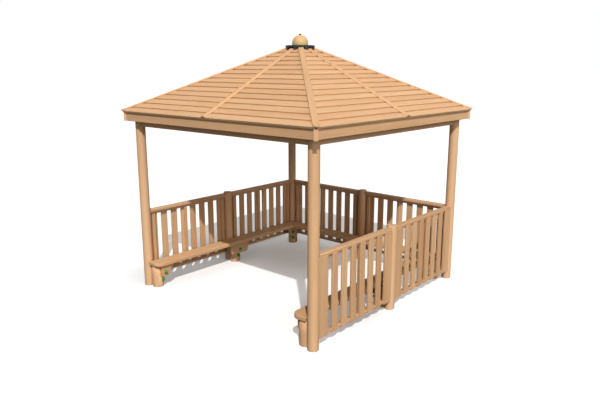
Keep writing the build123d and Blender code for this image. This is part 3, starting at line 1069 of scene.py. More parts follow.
@dataclass
class RoofFrame(SubAssembly):
    """Ring beams, hip and centre rafters, and the hub that the rafters meet."""

    form: RoofForm
    beam_ease: float = 0.004
    rafter_depth: float = 0.108
    rafter_ease: float = 0.003
    centre_rafter_width: float = 0.045
    hip_tail_proud: float = 0.006
    hip_tail_drop: float = 0.010
    hub_sides: int = 8
    hub_ease: float = 0.004

    def ring_beam(self, side: Side) -> Shell:
        """A beam coped to the posts.

        Its end stands off the post's middle by the root of the post's squared radius less the squared
        distance from the beam's centre line.

        Args:
            side: Its side.

        Returns:
            The beam.
        """
        node = f"ring_beam_{side.label}"
        inner, outer = span(node, side.outward)
        bottom, top = span(node, UP)
        section = eased_outline(rectangle(top - bottom, outer - inner), self.beam_ease)
        cope = np.sqrt((self.form.post_radius + FIT_GAP) ** 2 - section[:, 1] ** 2)
        end = self.form.post_line - cope
        origin = side.outward * (inner + outer) / 2 + UP * (bottom + top) / 2
        return straight_boards(origin, side.tangent, UP, section, -end, end)

    def rafter(self, outward: np.ndarray, width: float, backing: float, stations: Points,
               top: Height) -> Shell:
        """A rafter as upright sections at stations along its plan run.

        Upper points hang from the top line at their station, and lower points stand on the underside
        given there, so a notch is two stations at one place.

        Args:
            outward: Level direction of the run.
            width: Thickness across.
            backing: Fall of the top to each side, for each metre across.
            stations: Run and underside height of each section, from the hub out.
            top: Height of the top line at a run.

        Returns:
            The rafter.
        """
        depth, side = self.rafter_depth, width / 2
        crown = [(side, -side * backing), (0.0, 0.0), (-side, -side * backing)]
        if backing == 0:
            crown = [crown[0], crown[2]]
        section = eased_outline([(-side, -depth), (side, -depth), *crown], self.rafter_ease)
        run, underside = np.asarray(stations, float).T
        low = section[:, 1] < -depth / 2
        height = np.where(low[None], underside[:, None] + section[None, :, 1] + depth,
                          top(run)[:, None] + section[None, :, 1])
        across = np.broadcast_to(section[None, :, 0], height.shape)
        away = np.broadcast_to(run[:, None], height.shape)
        level = np.cross(UP, outward)
        rings = outward * away[..., None] + level * across[..., None] + UP * height[..., None]
        grain = np.stack([away - run.mean(), across, height - top(run)[:, None]], axis=-1)
        half = np.array([[(run[-1] - run[0]) / 2, side, depth]])
        return Shell(rings[None], grain[None], half, arc_flags(len(section)), np.zeros(len(run) - 1, bool))

    def stations(self, top: Height, tail: float, seat_inner: float, heel: float, hub_reach: float) -> Points:
        """Run and underside height of a rafter's sections, with its notch over the plate.

        Args:
            top: Height of the top line at a run.
            tail: Run of the tail cut.
            seat_inner: Run where the notch starts.
            heel: Run of the notch's upright face.
            hub_reach: Run of the hub end.

        Returns:
            The stations from the hub out.
        """
        seat = self.form.plate_level + FIT_GAP
        return [
            (hub_reach, top(hub_reach) - self.rafter_depth),
            (seat_inner, seat),
            (heel, seat),
            (heel, top(heel) - self.rafter_depth),
            (tail, top(tail) - self.rafter_depth),
        ]

    def build(self) -> None:
        """Make the beams, rafters and hub."""
        form = self.form
        for side in Side:
            node = f"ring_beam_{side.label}"
            self.put(f"{node}_timber", [self.ring_beam(side)], Slot.FRAMING, node)
        hub_low, hub_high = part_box("apex_hub")
        hub_apothem = hub_high.x
        hub_reach = hub_apothem + FIT_GAP
        beam_outer = span("ring_beam_right", Side.RIGHT.outward)[1]
        drop = form.rafter_top(beam_outer) - self.rafter_depth - form.plate_level - FIT_GAP
        seat_inner = beam_outer + drop / form.slope

        def hip_top(run: float | np.ndarray) -> float | np.ndarray:
            """Height of a hip rafter's ridge along the diagonal."""
            return form.rafter_top(run / DIAGONAL)

        hip_heel = form.post_line * DIAGONAL + form.post_radius + FIT_GAP
        hip_tail = form.fascia_reach * DIAGONAL + self.hip_tail_proud
        hips = self.stations(hip_top, hip_tail, seat_inner * DIAGONAL, hip_heel, hub_reach)
        hips[-1] = (hip_tail, hips[-1][1] - self.hip_tail_drop)
        hip_shells = [self.rafter(corner.outward, form.hip_rafter_width, form.hip_slope, hips, hip_top)
                      for corner in Corner]
        self.put("hip_rafters_timber", hip_shells, Slot.FRAMING, "hip_rafters")
        tail = form.fascia_reach - form.fascia_thickness - FIT_GAP
        centres = self.stations(form.rafter_top, tail, seat_inner, beam_outer + FIT_GAP, hub_reach)
        centre_shells = [self.rafter(side.outward, self.centre_rafter_width, 0.0, centres, form.rafter_top)
                         for side in Side]
        self.put("centre_rafters_timber", centre_shells, Slot.FRAMING, "centre_rafters")
        outline = eased_outline(regular_outline(self.hub_sides, hub_apothem), self.hub_ease)
        hub = slab(outline, UP * hub_low.z, X_AXIS, Y_AXIS, hub_high.z - hub_low.z, self.hub_ease)
        # The hub's grain stands upright.
        hub.grain = hub.grain[..., [2, 0, 1]]
        hub.half = hub.half[:, [2, 0, 1]]
        self.put("apex_hub_timber", [hub], Slot.FRAMING, "apex_hub")


@dataclass
class RoofCovering(SubAssembly):
    """Shiplap boards, battens, hip covers and fascias."""

    form: RoofForm
    exposure: float = 0.115
    butt: float = 0.0145
    scoop: float = 0.036
    board_ease: float = 0.002
    feather_ease: float = 0.001
    joint: float = 0.001
    hip_gap: float = 0.028
    hub_reach: float = 0.0753
    batten_width: float = 0.076
    batten_thickness: float = 0.022
    batten_overrun: float = 0.002
    batten_edge: float = 0.006
    batten_steps: int = 10
    strip_ease: float = 0.003
    strip_top_reach: float = 0.110
    cover_width: float = 0.070
    cover_crown: float = 0.010
    cover_overrun: float = 0.002
    fillet_width: float = 0.020
    fillet_stop: float = 0.060
    fascia_drop: float = 0.129

    def face(self, side: Side) -> Shell:
        """A roof face: two shiplap boards to each course, stopped short of the hips, met under the batten.

        A board's section is flat from its butt to the scoop, which falls straight to its head. Its outer
        end stands where the distance along the eave equals the reach less the gap at the hip, and its
        inner end at the middle of the face.

        Args:
            side: The face's side.

        Returns:
            The boards.
        """
        form = self.form
        run = (form.eave_reach - self.hub_reach) / math.cos(form.pitch) - form.cladding * form.slope
        starts = np.arange(0.0, run, self.exposure)
        ends = np.minimum(starts + self.exposure, run)
        sections = []
        for start, end in zip(starts, ends):
            head = end - FIT_GAP
            bend = head - min(self.scoop, (head - start) / 2)
            corners = [(start, -form.cladding), (head, -form.cladding), (head, -self.butt), (bend, 0.0),
                       (start, 0.0)]
            eases = [self.board_ease, self.feather_ease, self.feather_ease, self.board_ease, self.board_ease]
            sections.append(eased_outline(corners, eases))
        section = np.stack(sections)
        limit = form.reach_at(section[..., 0], section[..., 1]) - self.hip_gap / 2 * DIAGONAL
        inner = np.full_like(limit, self.joint / 2)
        origin = np.broadcast_to(form.eave(side), (2 * len(starts), 3))
        both = np.concatenate([section, section])
        begin, finish = np.concatenate([inner, -limit]), np.concatenate([limit, -inner])
        return straight_boards(origin, side.tangent, form.up_slope(side), both, begin, finish,
                               self.feather_ease)

    def batten(self, side: Side) -> Shell:
        """A rounded batten up the middle of a face, cut square at the eave and plumb under the cap.

        Its section has low upright edges under an arc of the circle through their tops and the crown.

        Args:
            side: The face's side.

        Returns:
            The batten.
        """
        form = self.form
        half = self.batten_width / 2
        rise = self.batten_thickness - self.batten_edge
        radius = (half**2 + rise**2) / (2 * rise)
        turn = np.linspace(1, -1, self.batten_steps + 1) * math.asin(half / radius)
        arc = np.column_stack([radius * np.sin(turn), self.batten_thickness - radius * (1 - np.cos(turn))])
        section = np.concatenate([[(-half, 0.0), (half, 0.0)], arc]) + [0.0, FIT_GAP]
        lean = section[:, 1] * math.sin(form.pitch)
        finish = (form.eave_reach - self.strip_top_reach + lean) / math.cos(form.pitch)
        shell = straight_boards(form.eave(side), form.up_slope(side), -side.tangent, section,
                                -self.batten_overrun, finish)
        place = np.arange(len(section))
        shell.soft_points = (place > 1) & (place < len(section) - 1)
        return shell

    def hip_cover(self, corner: Corner) -> Shell:
        """A cover board along a hip, hollowed underneath to both slopes.

        Its lower end follows both eaves: the run left to the corner shrinks by the distance off the
        hip. Its upper end is square to the hip in plan.

        Args:
            corner: The hip's corner.

        Returns:
            The board.
        """
        form, lean = self.form, self.form.hip_lean
        side, fall = self.cover_width / 2, self.cover_width / 2 * math.sin(lean)
        crown = self.cover_crown
        corners = [(0.0, 0.0), (side, -fall), (side, crown), (0.0, crown + self.feather_ease),
                   (-side, crown), (-side, -fall)]
        section = eased_outline(corners, [self.feather_ease] + [self.strip_ease] * (len(corners) - 1))
        foot = form.eave_reach * DIAGONAL
        underside = form.eave_height + FIT_GAP / math.cos(form.pitch)
        strip_rise = (FIT_GAP + self.batten_thickness) / math.cos(form.pitch)
        strip_top = form.top(self.strip_top_reach) + strip_rise
        head = foot - (strip_top - underside - crown / math.cos(lean)) / form.hip_slope
        eave = (form.eave_reach + self.cover_overrun) * DIAGONAL
        shift = foot + section[:, 1] * math.sin(lean)
        start = (shift - eave + np.abs(section[:, 0])) / math.cos(lean)
        finish = (shift - head) / math.cos(lean)
        origin = corner.outward * foot + UP * underside
        return straight_boards(origin, form.up_hip(corner), -corner.tangent, section, start, finish)

    def hip_fillet(self, corner: Corner) -> Shell:
        """A strip on the hip rafter that fills the gap between the boards, stopped short of the eave.

        Its rectangle hangs under the line of the hip, as deep as the boards measured square to the hip.

        Args:
            corner: The hip's corner.

        Returns:
            The strip.
        """
        form, lean = self.form, self.form.hip_lean
        depth = form.cladding * math.cos(lean) / math.cos(form.pitch)
        section = eased_outline(rectangle(self.fillet_width, depth), self.feather_ease) - [0.0, depth / 2]
        foot = form.eave_reach * DIAGONAL
        finish = (foot - self.hub_reach) / math.cos(lean) - depth
        origin = corner.outward * foot + UP * form.eave_height
        return straight_boards(origin, form.up_hip(corner), -corner.tangent, section, self.fillet_stop,
                               finish)

    def fascia(self, side: Side) -> Shell:
        """A fascia board, bevelled under the roof boards and mitred against the hip rafters.

        Its top follows the rafters' tops. Its ends stand where the distance along the side equals the
        reach, less the hip rafter's half width measured along the side.

        Args:
            side: Its side.

        Returns:
            The board.
        """
        form, front = self.form, self.form.fascia_reach
        back = front - form.fascia_thickness
        bottom = form.eave_height - self.fascia_drop
        corners = [(bottom, back), (form.rafter_top(back), back), (form.rafter_top(front), front),
                   (bottom, front)]
        section = eased_outline(corners, self.strip_ease)
        limit = section[:, 1] - (form.hip_rafter_width / 2 + FIT_GAP) * DIAGONAL
        return straight_boards(np.zeros(3), side.tangent, UP, section, -limit, limit)

    def build(self) -> None:
        """Make the faces, strips and fascias."""
        for side in Side:
            self.put(f"roof_{side.label}_boards", [self.face(side)], Slot.ROOF_BOARD, f"roof_{side.label}")
            self.put(f"fascia_{side.label}_board", [self.fascia(side)], Slot.TRIM, f"fascia_{side.label}")
        battens = [self.batten(side) for side in Side]
        self.put("centre_battens_timber", battens, Slot.TRIM, "centre_battens")
        covers = [self.hip_cover(corner) for corner in Corner]
        self.put("hip_cover_boards_timber", covers, Slot.TRIM, "hip_cover_boards")
        self.put("hip_fillets", [self.hip_fillet(corner) for corner in Corner], Slot.FRAMING)


@dataclass
class Crown(SubAssembly):
    """Steel cap plate with its tabs, the turned ball and its tip."""

    ball_diameter: float = 0.206
    ball_rings: int = 40
    ball_segments: int = 64
    tip_across: float = 0.028
    tip_sides: int = 6

    def build(self) -> None:
        """Dress the plate and tip, and turn the ball: an arc from the plate to the flat under the tip."""
        for node in ("cap_plate", "finial_tip"):
            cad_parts[node].data.materials.clear()
            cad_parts[node].data.materials.append(self.finishes.of(Slot.STEEL))
        foot = span("cap_plate", UP)[1] + FIT_GAP
        radius = self.ball_diameter / 2
        flat = self.tip_across / 2 / math.cos(math.pi / self.tip_sides)
        centre = span("finial_ball", UP)[1] - math.sqrt(radius**2 - flat**2)
        turn = np.linspace(math.asin((foot - centre) / radius), math.acos(flat / radius), self.ball_rings)
        profile = np.column_stack([radius * np.cos(turn), centre + radius * np.sin(turn)])
        ball = turned(profile, np.zeros(3), UP, self.ball_segments)
        self.put("finial_ball_turned", [ball], Slot.FINIAL, "finial_ball")


# Railings and bench


@dataclass
class Railings(SubAssembly):
    """Slatted panels and the flat cap rails over them."""

    slat_width: float = 0.092
    slat_gap: float = 0.076
    slat_thickness: float = 0.025
    end_board_least: float = 0.100
    end_board_lap: float = 0.019
    bottom_rail_thickness: float = 0.045
    bottom_rail_depth: float = 0.043
    rail_relief: float = 0.006
    rail_lift: float = 0.014
    top_rail_thickness: float = 0.025
    top_rail_depth: float = 0.037
    stile_width: float = 0.038
    stile_thickness: float = 0.038
    stile_inset: float = 0.038
    stile_shift: float = 0.008
    cap_round: float = 0.007
    slat_ease: float = 0.003
    rail_ease: float = 0.003

    def uprights(self, side: Side, places: np.ndarray, width: float, thickness: float, reach: float,
                 bottom: float, top: float) -> Shell:
        """Upright boards at places along a side.

        Args:
            side: Their side.
            places: Distance of each board's middle along the side.
            width: Width of each board.
            thickness: Thickness of each board.
            reach: Plan distance of the boards' middles from the centre.
            bottom: Height of their feet.
            top: Height of their heads.

        Returns:
            The boards.
        """
        origin = side.outward * reach + side.tangent * np.asarray(places)[:, None]
        section = eased_outline(rectangle(width, thickness), self.slat_ease)
        return straight_boards(origin, UP, np.cross(side.outward, UP), section, bottom, top)

    def level(self, side: Side, ends: tuple[float, float], heights: tuple[float, float],
              reaches: tuple[float, float], radii: float | list[float]) -> Shell:
        """A level rail along a side.

        Args:
            side: Its side.
            ends: Where it starts and ends along the side.
            heights: Its bottom and top.
            reaches: Its inner and outer face.
            radii: Rounding of its corners: inner bottom, inner top, outer top, outer bottom.

        Returns:
            The rail.
        """
        (bottom, top), (inner, outer) = heights, reaches
        corners = [(bottom, inner), (top, inner), (top, outer), (bottom, outer)]
        section = eased_outline(corners, radii)
        return straight_boards(np.zeros(3), side.tangent, UP, section, *ends)

    def panel(self, side: Side, node: str) -> list[Shell]:
        """Slats and end boards over two rails and three stiles.

        Args:
            side: The panel's side.
            node: Its node.

        Returns:
            Its boards.
        """
        start, finish = span(node, side.tangent)
        bottom, top = span(node, UP)
        outer = span(node, side.outward)[1]
        back = outer - self.slat_thickness
        length = finish - start
        middle = (start + finish) / 2
        pitch = self.slat_width + self.slat_gap
        count = int((length - self.slat_gap - 2 * self.end_board_least) / pitch)
        end_width = (length - count * pitch - self.slat_gap) / 2
        slats = middle + (np.arange(count) - (count - 1) / 2) * pitch
        end_place = (length - end_width + self.end_board_lap) / 2
        end_boards = middle + np.array([-end_place, end_place])
        stile_place = length / 2 - self.stile_inset - self.stile_width / 2
        middle_stile = 0.0 if count % 2 else pitch / 2 - self.stile_shift
        stiles = middle + np.array([-stile_place, middle_stile, stile_place])
        rail_top = bottom + self.bottom_rail_depth
        stile_top = top - self.top_rail_depth
        reach = outer - self.slat_thickness / 2
        stile_reach = back - self.stile_thickness / 2
        foot_rail = (back - self.bottom_rail_thickness, outer - self.rail_relief)
        head_rail = (back - self.top_rail_thickness, back)
        ends = (start, finish)
        return [
            self.uprights(side, slats, self.slat_width, self.slat_thickness, reach, bottom, top),
            self.uprights(side, end_boards, end_width + self.end_board_lap, self.slat_thickness, reach,
                          bottom, top),
            self.uprights(side, stiles, self.stile_width, self.stile_thickness, stile_reach, rail_top,
                          stile_top),
            self.level(side, ends, (bottom + self.rail_lift, rail_top), foot_rail, self.rail_ease),
            self.level(side, ends, (stile_top, top), head_rail, self.rail_ease),
        ]

    def build(self) -> None:
        """Make the panels and cap rails."""
        halves = {Side.LEFT: ("front", "back"), Side.RIGHT: ("front", "back"), Side.BACK: ("left", "right")}
        radii = [self.rail_ease, self.cap_round, self.cap_round, self.rail_ease]
        for side, names in halves.items():
            cap_node = f"cap_rails_{side.label}"
            heights, reaches = span(cap_node, UP), span(cap_node, side.outward)
            caps = []
            for half in names:
                node = f"railing_{side.label}_{half}"
                self.put(f"{node}_slats", self.panel(side, node), Slot.RAILING, node)
                caps.append(self.level(side, span(node, side.tangent), heights, reaches, radii))
            self.put(f"{cap_node}_eased", caps, Slot.RAILING, cap_node)


class BearerKind(Enum):
    """The shapes of bench bearer."""

    END = "end"
    MIDDLE = "middle"
    CORNER = "corner"


@dataclass(frozen=True)
class Support:
    """A bench leg with its bearer.

    Attributes:
        foot: Middle of the leg on the ground.
        facing: Level direction that its bearer faces.
        kind: Shape of the bearer.
        turn: Which way an end bearer points along its face.
    """

    foot: np.ndarray
    facing: np.ndarray
    kind: BearerKind
    turn: int = 1


@dataclass
class Bench(SubAssembly):
    """Seat planks on round legs, with bearers and their green bolt caps."""

    seat_corner: float = 0.105
    seat_outer_trim: float = 0.017
    seat_inner_trim: float = 0.028
    seat_end_trim: float = 0.016
    seat_top_drop: float = 0.003
    seat_under_drop: float = 0.009
    seat_ease: float = 0.009
    mitre_ease: float = 0.002
    housing: float = 0.006
    leg_ease: float = 0.003
    leg_segments: int = 72
    bearer_thickness: float = 0.046
    bearer_ease: float = 0.004
    middle_length: float = 0.380
    splay: float = 0.040
    front_leg_shift: float = 0.028
    end_near: float = 0.007
    end_far: float = 0.178
    end_splay: float = 0.085
    end_upper_cap: float = 0.049
    end_lower_cap: float = 0.028
    corner_length: float = 0.155
    cap_radius: float = 0.024
    cap_height: float = 0.030
    upper_cap_height: float = 0.2085
    lower_cap_height: float = 0.100
    cap_segments: int = 24
    cap_flange: float = 0.25
    dome_share: float = 0.86
    dome_turn: float = 0.94
    dome_rings: int = 6
    corner_steps: int = 12

    @property
    def leg_radius(self) -> float:
        """Radius of a leg, read off the left legs' node."""
        low, high = span("bench_legs_left", X_AXIS)
        return (high - low) / 2

    def seat(self, side: Side) -> Shell:
        """A seat plank: its plan outline given depth with rounded rims.

        Args:
            side: Its side.

        Returns:
            The plank.
        """
        low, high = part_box(f"bench_seat_{side.label}")
        outer, inner = self.seat_outer_trim, self.seat_inner_trim
        front, back = low.y + self.seat_end_trim, high.y - outer
        along = 1
        if side is Side.BACK:
            width = high.y - low.y - inner
            corners = [(low.x + width, low.y + inner), (high.x - width, low.y + inner),
                       (high.x - outer, back), (low.x + outer, back)]
            radii = [self.mitre_ease] * len(corners)
            along = 0
        elif side is Side.LEFT:
            width = high.x - low.x - inner
            corners = [(low.x + outer, front), (high.x - inner, front), (high.x - inner, high.y - width),
                       (low.x + outer, back)]
            radii = [self.seat_ease, self.seat_corner, self.mitre_ease, self.mitre_ease]
        else:
            width = high.x - low.x - inner
            corners = [(low.x + inner, front), (high.x - outer, front), (high.x - outer, back),
                       (low.x + inner, high.y - width)]
            radii = [self.seat_corner, self.seat_ease, self.mitre_ease, self.mitre_ease]
        outline = eased_outline(corners, radii, self.corner_steps)
        under, top = low.z - self.seat_under_drop, high.z - self.seat_top_drop
        return slab(outline, UP * under, X_AXIS, Y_AXIS, top - under, self.seat_ease, along,
                    arc_flags(len(outline), self.corner_steps))

    def supports(self) -> dict[Side, list[Support]]:
        """Where the legs stand, read off their nodes.

        Returns:
            The supports of each side.
        """
        left_low, left_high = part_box("bench_legs_left")
        line = (left_low.x + left_high.x) / 2
        front = left_low.y + self.leg_radius - self.front_leg_shift
        right, left, forward = Side.RIGHT.outward, Side.LEFT.outward, Side.FRONT.outward
        return {
            Side.LEFT: [
                Support(np.array([line, front, 0.0]), right, BearerKind.END, 1),
                Support(np.array([line, 0.0, 0.0]), right, BearerKind.MIDDLE),
            ],
            Side.RIGHT: [
                Support(np.array([-line, front, 0.0]), left, BearerKind.END, -1),
                Support(np.array([-line, 0.0, 0.0]), left, BearerKind.MIDDLE),
            ],
            Side.BACK: [
                Support(np.array([line, -line, 0.0]), Corner.FRONT_RIGHT.outward, BearerKind.CORNER),
                Support(np.array([0.0, -line, 0.0]), forward, BearerKind.MIDDLE),
                Support(np.array([-line, -line, 0.0]), Corner.FRONT_LEFT.outward, BearerKind.CORNER),
            ],
        }

    def leg(self, support: Support, top: float, bearer_bottom: float) -> Shell:
        """A round leg with a flat behind its bearer.

        Over the bearer's height, points that stand out past the flat are pushed back onto it.

        Args:
            support: Where it stands.
            top: Its height.
            bearer_bottom: Where the flat starts.

        Returns:
            The leg.
        """
        ease, radius = self.leg_ease, self.leg_radius
        shaft = [(radius - ease, 0.0), (radius, ease), (radius, 2 * ease), (radius, bearer_bottom - FIT_GAP)]
        head = [(radius, bearer_bottom), (radius, top)]
        shell = turned(shaft + head, support.foot, UP, self.leg_segments)
        away = (shell.rings - support.foot) @ support.facing
        push = np.maximum(away - (radius - self.housing), 0.0)
        push[:, :len(shaft)] = 0.0
        shell.rings = shell.rings - push[..., None] * support.facing
        return shell

    def bearer(self, support: Support, face: float, top: float, bottom: float) -> Shell:
        """A bearer, its outline given depth away from the leg.

        Args:
            support: Where its leg stands.
            face: Distance of its back from the leg's middle.
            top: Height of its top edge.
            bottom: Height of its bottom edge.

        Returns:
            The bearer.
        """
        if support.kind is BearerKind.MIDDLE:
            reach = self.middle_length / 2
            ends = [(-reach, reach), (self.splay - reach, reach - self.splay)]
        elif support.kind is BearerKind.CORNER:
            reach = self.corner_length / 2
            ends = [(-reach, reach), (-reach, reach)]
        else:
            near, far = -support.turn * self.end_near, support.turn * self.end_far
            short = support.turn * (self.end_far - self.end_splay)
            ends = [sorted((near, far)), sorted((near, short))]
        (top_left, top_right), (bottom_left, bottom_right) = ends
        corners = [(bottom_left, bottom), (bottom_right, bottom), (top_right, top), (top_left, top)]
        outline = eased_outline(corners, self.bearer_ease)
        origin = support.foot + support.facing * face
        right = np.cross(UP, support.facing)
        return slab(outline, origin, right, UP, self.bearer_thickness, self.bearer_ease)

    def bolt_caps(self, foot: np.ndarray, facing: np.ndarray) -> Shell:
        """Domed caps: a low flange, then a quarter ellipse up to a small flat.

        Args:
            foot: Middle of each cap's back, (caps, 3).
            facing: Direction of each cap, (caps, 3).

        Returns:
            The caps.
        """
        flange = self.cap_height * self.cap_flange
        turn = np.linspace(0, math.pi / 2 * self.dome_turn, self.dome_rings)
        dome = np.column_stack([self.cap_radius * self.dome_share * np.cos(turn),
                                flange + (self.cap_height - flange) * np.sin(turn)])
        profile = np.concatenate([[(self.cap_radius, 0.0), (self.cap_radius, flange)], dome])
        return turned(profile, foot, facing, self.cap_segments)

    def cap_spots(self, support: Support, face: float) -> list[tuple[np.ndarray, np.ndarray]]:
        """Foot and facing of a support's two caps.

        The upper one stands on the bearer and the lower one on the leg. At an end support the upper
        one is moved along the bearer, and the lower one is turned round the leg.

        Args:
            support: The leg with its bearer.
            face: Distance of the bearer's back from the leg's middle.

        Returns:
            Foot and facing of the upper cap and of the lower one.
        """
        aside = np.cross(UP, support.facing) * (support.turn if support.kind is BearerKind.END else 0)
        turn = math.asin(self.end_lower_cap / self.leg_radius)
        spoke = unit(support.facing + aside * math.tan(turn))
        upper = support.facing * (face + self.bearer_thickness) + aside * self.end_upper_cap
        lower = spoke * (self.leg_radius - FIT_GAP)
        return [(support.foot + upper + UP * self.upper_cap_height, support.facing),
                (support.foot + lower + UP * self.lower_cap_height, spoke)]

    def build(self) -> None:
        """Make the seats, legs, bearers and caps."""
        face = self.leg_radius - self.housing + FIT_GAP
        spots = []
        for side, supports in self.supports().items():
            seat_node = f"bench_seat_{side.label}"
            legs_node, bearers_node = f"bench_legs_{side.label}", f"bench_bearers_{side.label}"
            top = span(legs_node, UP)[1] - self.seat_under_drop
            bottom = span(bearers_node, UP)[0]
            legs = [self.leg(support, top, bottom) for support in supports]
            bearers = [self.bearer(support, face, top, bottom) for support in supports]
            self.put(f"{seat_node}_plank", [self.seat(side)], Slot.BENCH, seat_node)
            self.put(f"{legs_node}_round", legs, Slot.POST, legs_node)
            self.put(f"{bearers_node}_timber", bearers, Slot.BENCH, bearers_node)
            for support in supports:
                spots += self.cap_spots(support, face)
        feet, facings = (np.array(column) for column in zip(*spots))
        self.put("bench_bolt_caps", [self.bolt_caps(feet, facings)], Slot.BOLT_CAP)


# Stage


@dataclass(frozen=True)
class Pool:
    """A soft patch of painted shade on the floor, or of painted light where its depth is below zero.

    Attributes:
        centre: Its middle.
        spread: Its half widths along X, Y and Z.
        core: Share of its half widths that has the full depth.
        depth: How much of the floor's lift it takes away as painted shade; below zero it adds painted light.
    """

    centre: Triple
    spread: Triple
    core: float
    depth: float


@dataclass(frozen=True)
class Lamp:
    """A distant round lamp.

    Attributes:
        name: Its name.
        towards: Direction from the ground to it.
        strength: Its strength.
        angle: How wide it looks from the ground, in degrees.
    """

    name: str
    towards: Triple
    strength: float
    angle: float

    def build(self) -> None:
        """Hang the lamp."""
        data = bpy.data.lights.new(self.name, "SUN")
        data.energy = self.strength
        data.angle = math.radians(self.angle)
        made = bpy.data.objects.new(self.name, data)
        made.rotation_euler = (-Vector(self.towards)).to_track_quat("-Z", "Y").to_euler()
        bpy.context.scene.collection.objects.link(made)


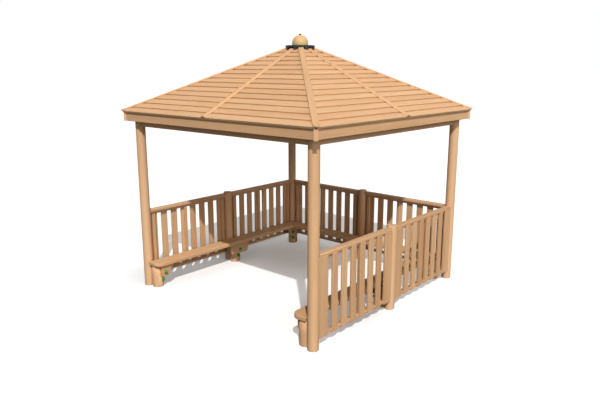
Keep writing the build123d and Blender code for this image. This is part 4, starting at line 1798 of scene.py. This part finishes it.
@dataclass
class Stage:
    """Camera, lamps, sky and floor.

    Attributes:
        camera_place: Where the camera stands.
        camera_turn: Its turn about X, Y and Z, in degrees.
        lens: Focal length on the sensor, in millimetres.
        sensor: Width of the sensor, in millimetres.
        lamps: The sun and two broad lamps that lighten its shadows.
        sky_strength: Light from all round.
        floor_reach: Half the floor's width.
        floor_seen: Share of the light that the floor gives back to the camera.
        floor_lift: Glow that lifts its shadows there.
        pools: Patches of painted shade where the lift is less, and of painted light where it is more.
        floor_bounce: Share of the light that it gives back to the gazebo.
        floor_glow: Glow that the gazebo gets from it.
        floor_tint: Colour of both glows.
    """

    camera_place: Triple = (5.157118, -5.881902, 2.928442)
    camera_turn: Triple = (77.2575, 0.0, 41.2537)
    lens: float = 35.281
    sensor: float = 36.0
    lamps: tuple[Lamp, ...] = (
        Lamp("sun", (0.702, -0.709, 1.0), 3.0, 0.8),
        Lamp("fill", (0.921, -0.156, 0.357), 0.86, 34.0),
        Lamp("front", (0.49, -0.84, 0.22), 0.2, 30.0),
    )
    sky_strength: float = 0.14
    floor_reach: float = 150.0
    floor_seen: float = 0.8
    floor_lift: float = 0.39
    # Painted shade under the roof and beside the railings; the last pool, with depth below zero, is painted
    # light.
    pools: tuple[Pool, ...] = (
        Pool((-1.0, 0.72, 0.0), (2.0, 1.25, 1.0), 0.083, 0.22),
        Pool((-1.65, -0.7, 0.0), (0.8, 1.6, 1.0), 0.4, 0.16),
        Pool((1.1, -0.35, 0.0), (0.7, 1.1, 1.0), 0.4, 0.17),
        Pool((-3.2, 0.4, 0.0), (1.0, 1.6, 1.0), 0.3, -0.10),
    )
    floor_bounce: float = 0.10
    floor_glow: float = 0.06
    floor_tint: tuple[float, float, float, float] = (1.0, 0.965, 0.93, 1.0)

    def camera(self) -> None:
        """Set the camera at the photograph's viewpoint."""
        data = bpy.data.cameras.new("camera")
        data.lens = self.lens
        data.sensor_width = self.sensor
        made = bpy.data.objects.new("camera", data)
        made.location = self.camera_place
        made.rotation_euler = [math.radians(angle) for angle in self.camera_turn]
        bpy.context.scene.collection.objects.link(made)
        bpy.context.scene.camera = made

    def sky(self) -> None:
        """Light evenly from all round, and show white where the camera, gloss or glass looks."""
        world = bpy.data.worlds.new("sky")
        wiring = empty_tree(world)
        path = wiring.node("ShaderNodeLightPath").outputs
        seen = wiring.sum("MAXIMUM", path["Is Camera Ray"], path["Is Glossy Ray"])
        seen = wiring.sum("MAXIMUM", seen, path["Is Transmission Ray"])
        fill = wiring.node("ShaderNodeBackground", {"Color": WHITE, "Strength": self.sky_strength})
        white = wiring.node("ShaderNodeBackground", {"Color": WHITE, "Strength": 1.0})
        both = wiring.node("ShaderNodeMixShader", {0: seen, 1: fill.outputs[0], 2: white.outputs[0]})
        wiring.node("ShaderNodeOutputWorld", {"Surface": both.outputs[0]})
        bpy.context.scene.world = world

    def lifted_white(self, wiring: Wiring, share: float, lift: float | Socket) -> Socket:
        """A matt white that gives back a share of the light, with a faint glow that lifts its shadows.

        Args:
            wiring: The floor's tree.
            share: Share of the light given back.
            lift: Strength of the glow, a number or a socket.

        Returns:
            The shader.
        """
        matt = wiring.node("ShaderNodeBsdfDiffuse", {"Color": (share, share, share, 1.0)}).outputs[0]
        glow = wiring.node("ShaderNodeEmission", {"Color": self.floor_tint, "Strength": lift}).outputs[0]
        return wiring.node("ShaderNodeAddShader", {0: matt, 1: glow}).outputs[0]

    def floor(self) -> None:
        """Lay a pale floor that takes the shadow.

        A pool of painted shade takes its depth off the floor's lift at its core, and fades to nothing at its
        rim.
        """
        reach = self.floor_reach
        mesh = bpy.data.meshes.new("floor")
        corners = np.array([[-reach, -reach, 0], [reach, -reach, 0], [reach, reach, 0], [-reach, reach, 0]])
        mesh.from_pydata(corners.tolist(), [], [(0, 1, 2, 3)])
        material = bpy.data.materials.new("floor")
        wiring = empty_tree(material)
        path = wiring.node("ShaderNodeLightPath")
        at = wiring.node("ShaderNodeTexCoord").outputs["Object"]
        lift: float | Socket = self.floor_lift
        # Each pool paints shade onto the floor, or painted light where its depth is below zero.
        for pool in self.pools:
            spoke = wiring.vector("DIVIDE", wiring.vector("SUBTRACT", at, pool.centre), pool.spread)
            away = wiring.node("ShaderNodeVectorMath", {0: spoke}, operation="LENGTH").outputs["Value"]
            lift = wiring.sum("MULTIPLY_ADD", wiring.fade(away, pool.core, 1.0), -pool.depth, lift)
        bounce = self.lifted_white(wiring, self.floor_bounce, self.floor_glow)
        seen = self.lifted_white(wiring, self.floor_seen, lift)
        both = wiring.node("ShaderNodeMixShader", {0: path.outputs["Is Camera Ray"], 1: bounce, 2: seen})
        wiring.node("ShaderNodeOutputMaterial", {"Surface": both.outputs[0]})
        mesh.materials.append(material)
        made = bpy.data.objects.new("floor", mesh)
        bpy.context.scene.collection.objects.link(made)

    def build(self) -> None:
        """Set the whole stage."""
        bpy.context.scene.view_settings.view_transform = "Standard"
        self.camera()
        for lamp in self.lamps:
            lamp.build()
        self.sky()
        self.floor()


def main() -> None:
    """Dress the frame and set the stage."""
    logging.basicConfig(level=logging.INFO, format="%(message)s")
    Stage().build()
    yard = TimberYard(np.random.default_rng(SEED))
    finishes = Finishes()
    form = RoofForm.from_frame()
    Posts(yard, finishes).build()
    RoofFrame(yard, finishes, form).build()
    RoofCovering(yard, finishes, form).build()
    Crown(yard, finishes).build()
    Railings(yard, finishes).build()
    Bench(yard, finishes).build()


if __name__ == "__main__":
    main()
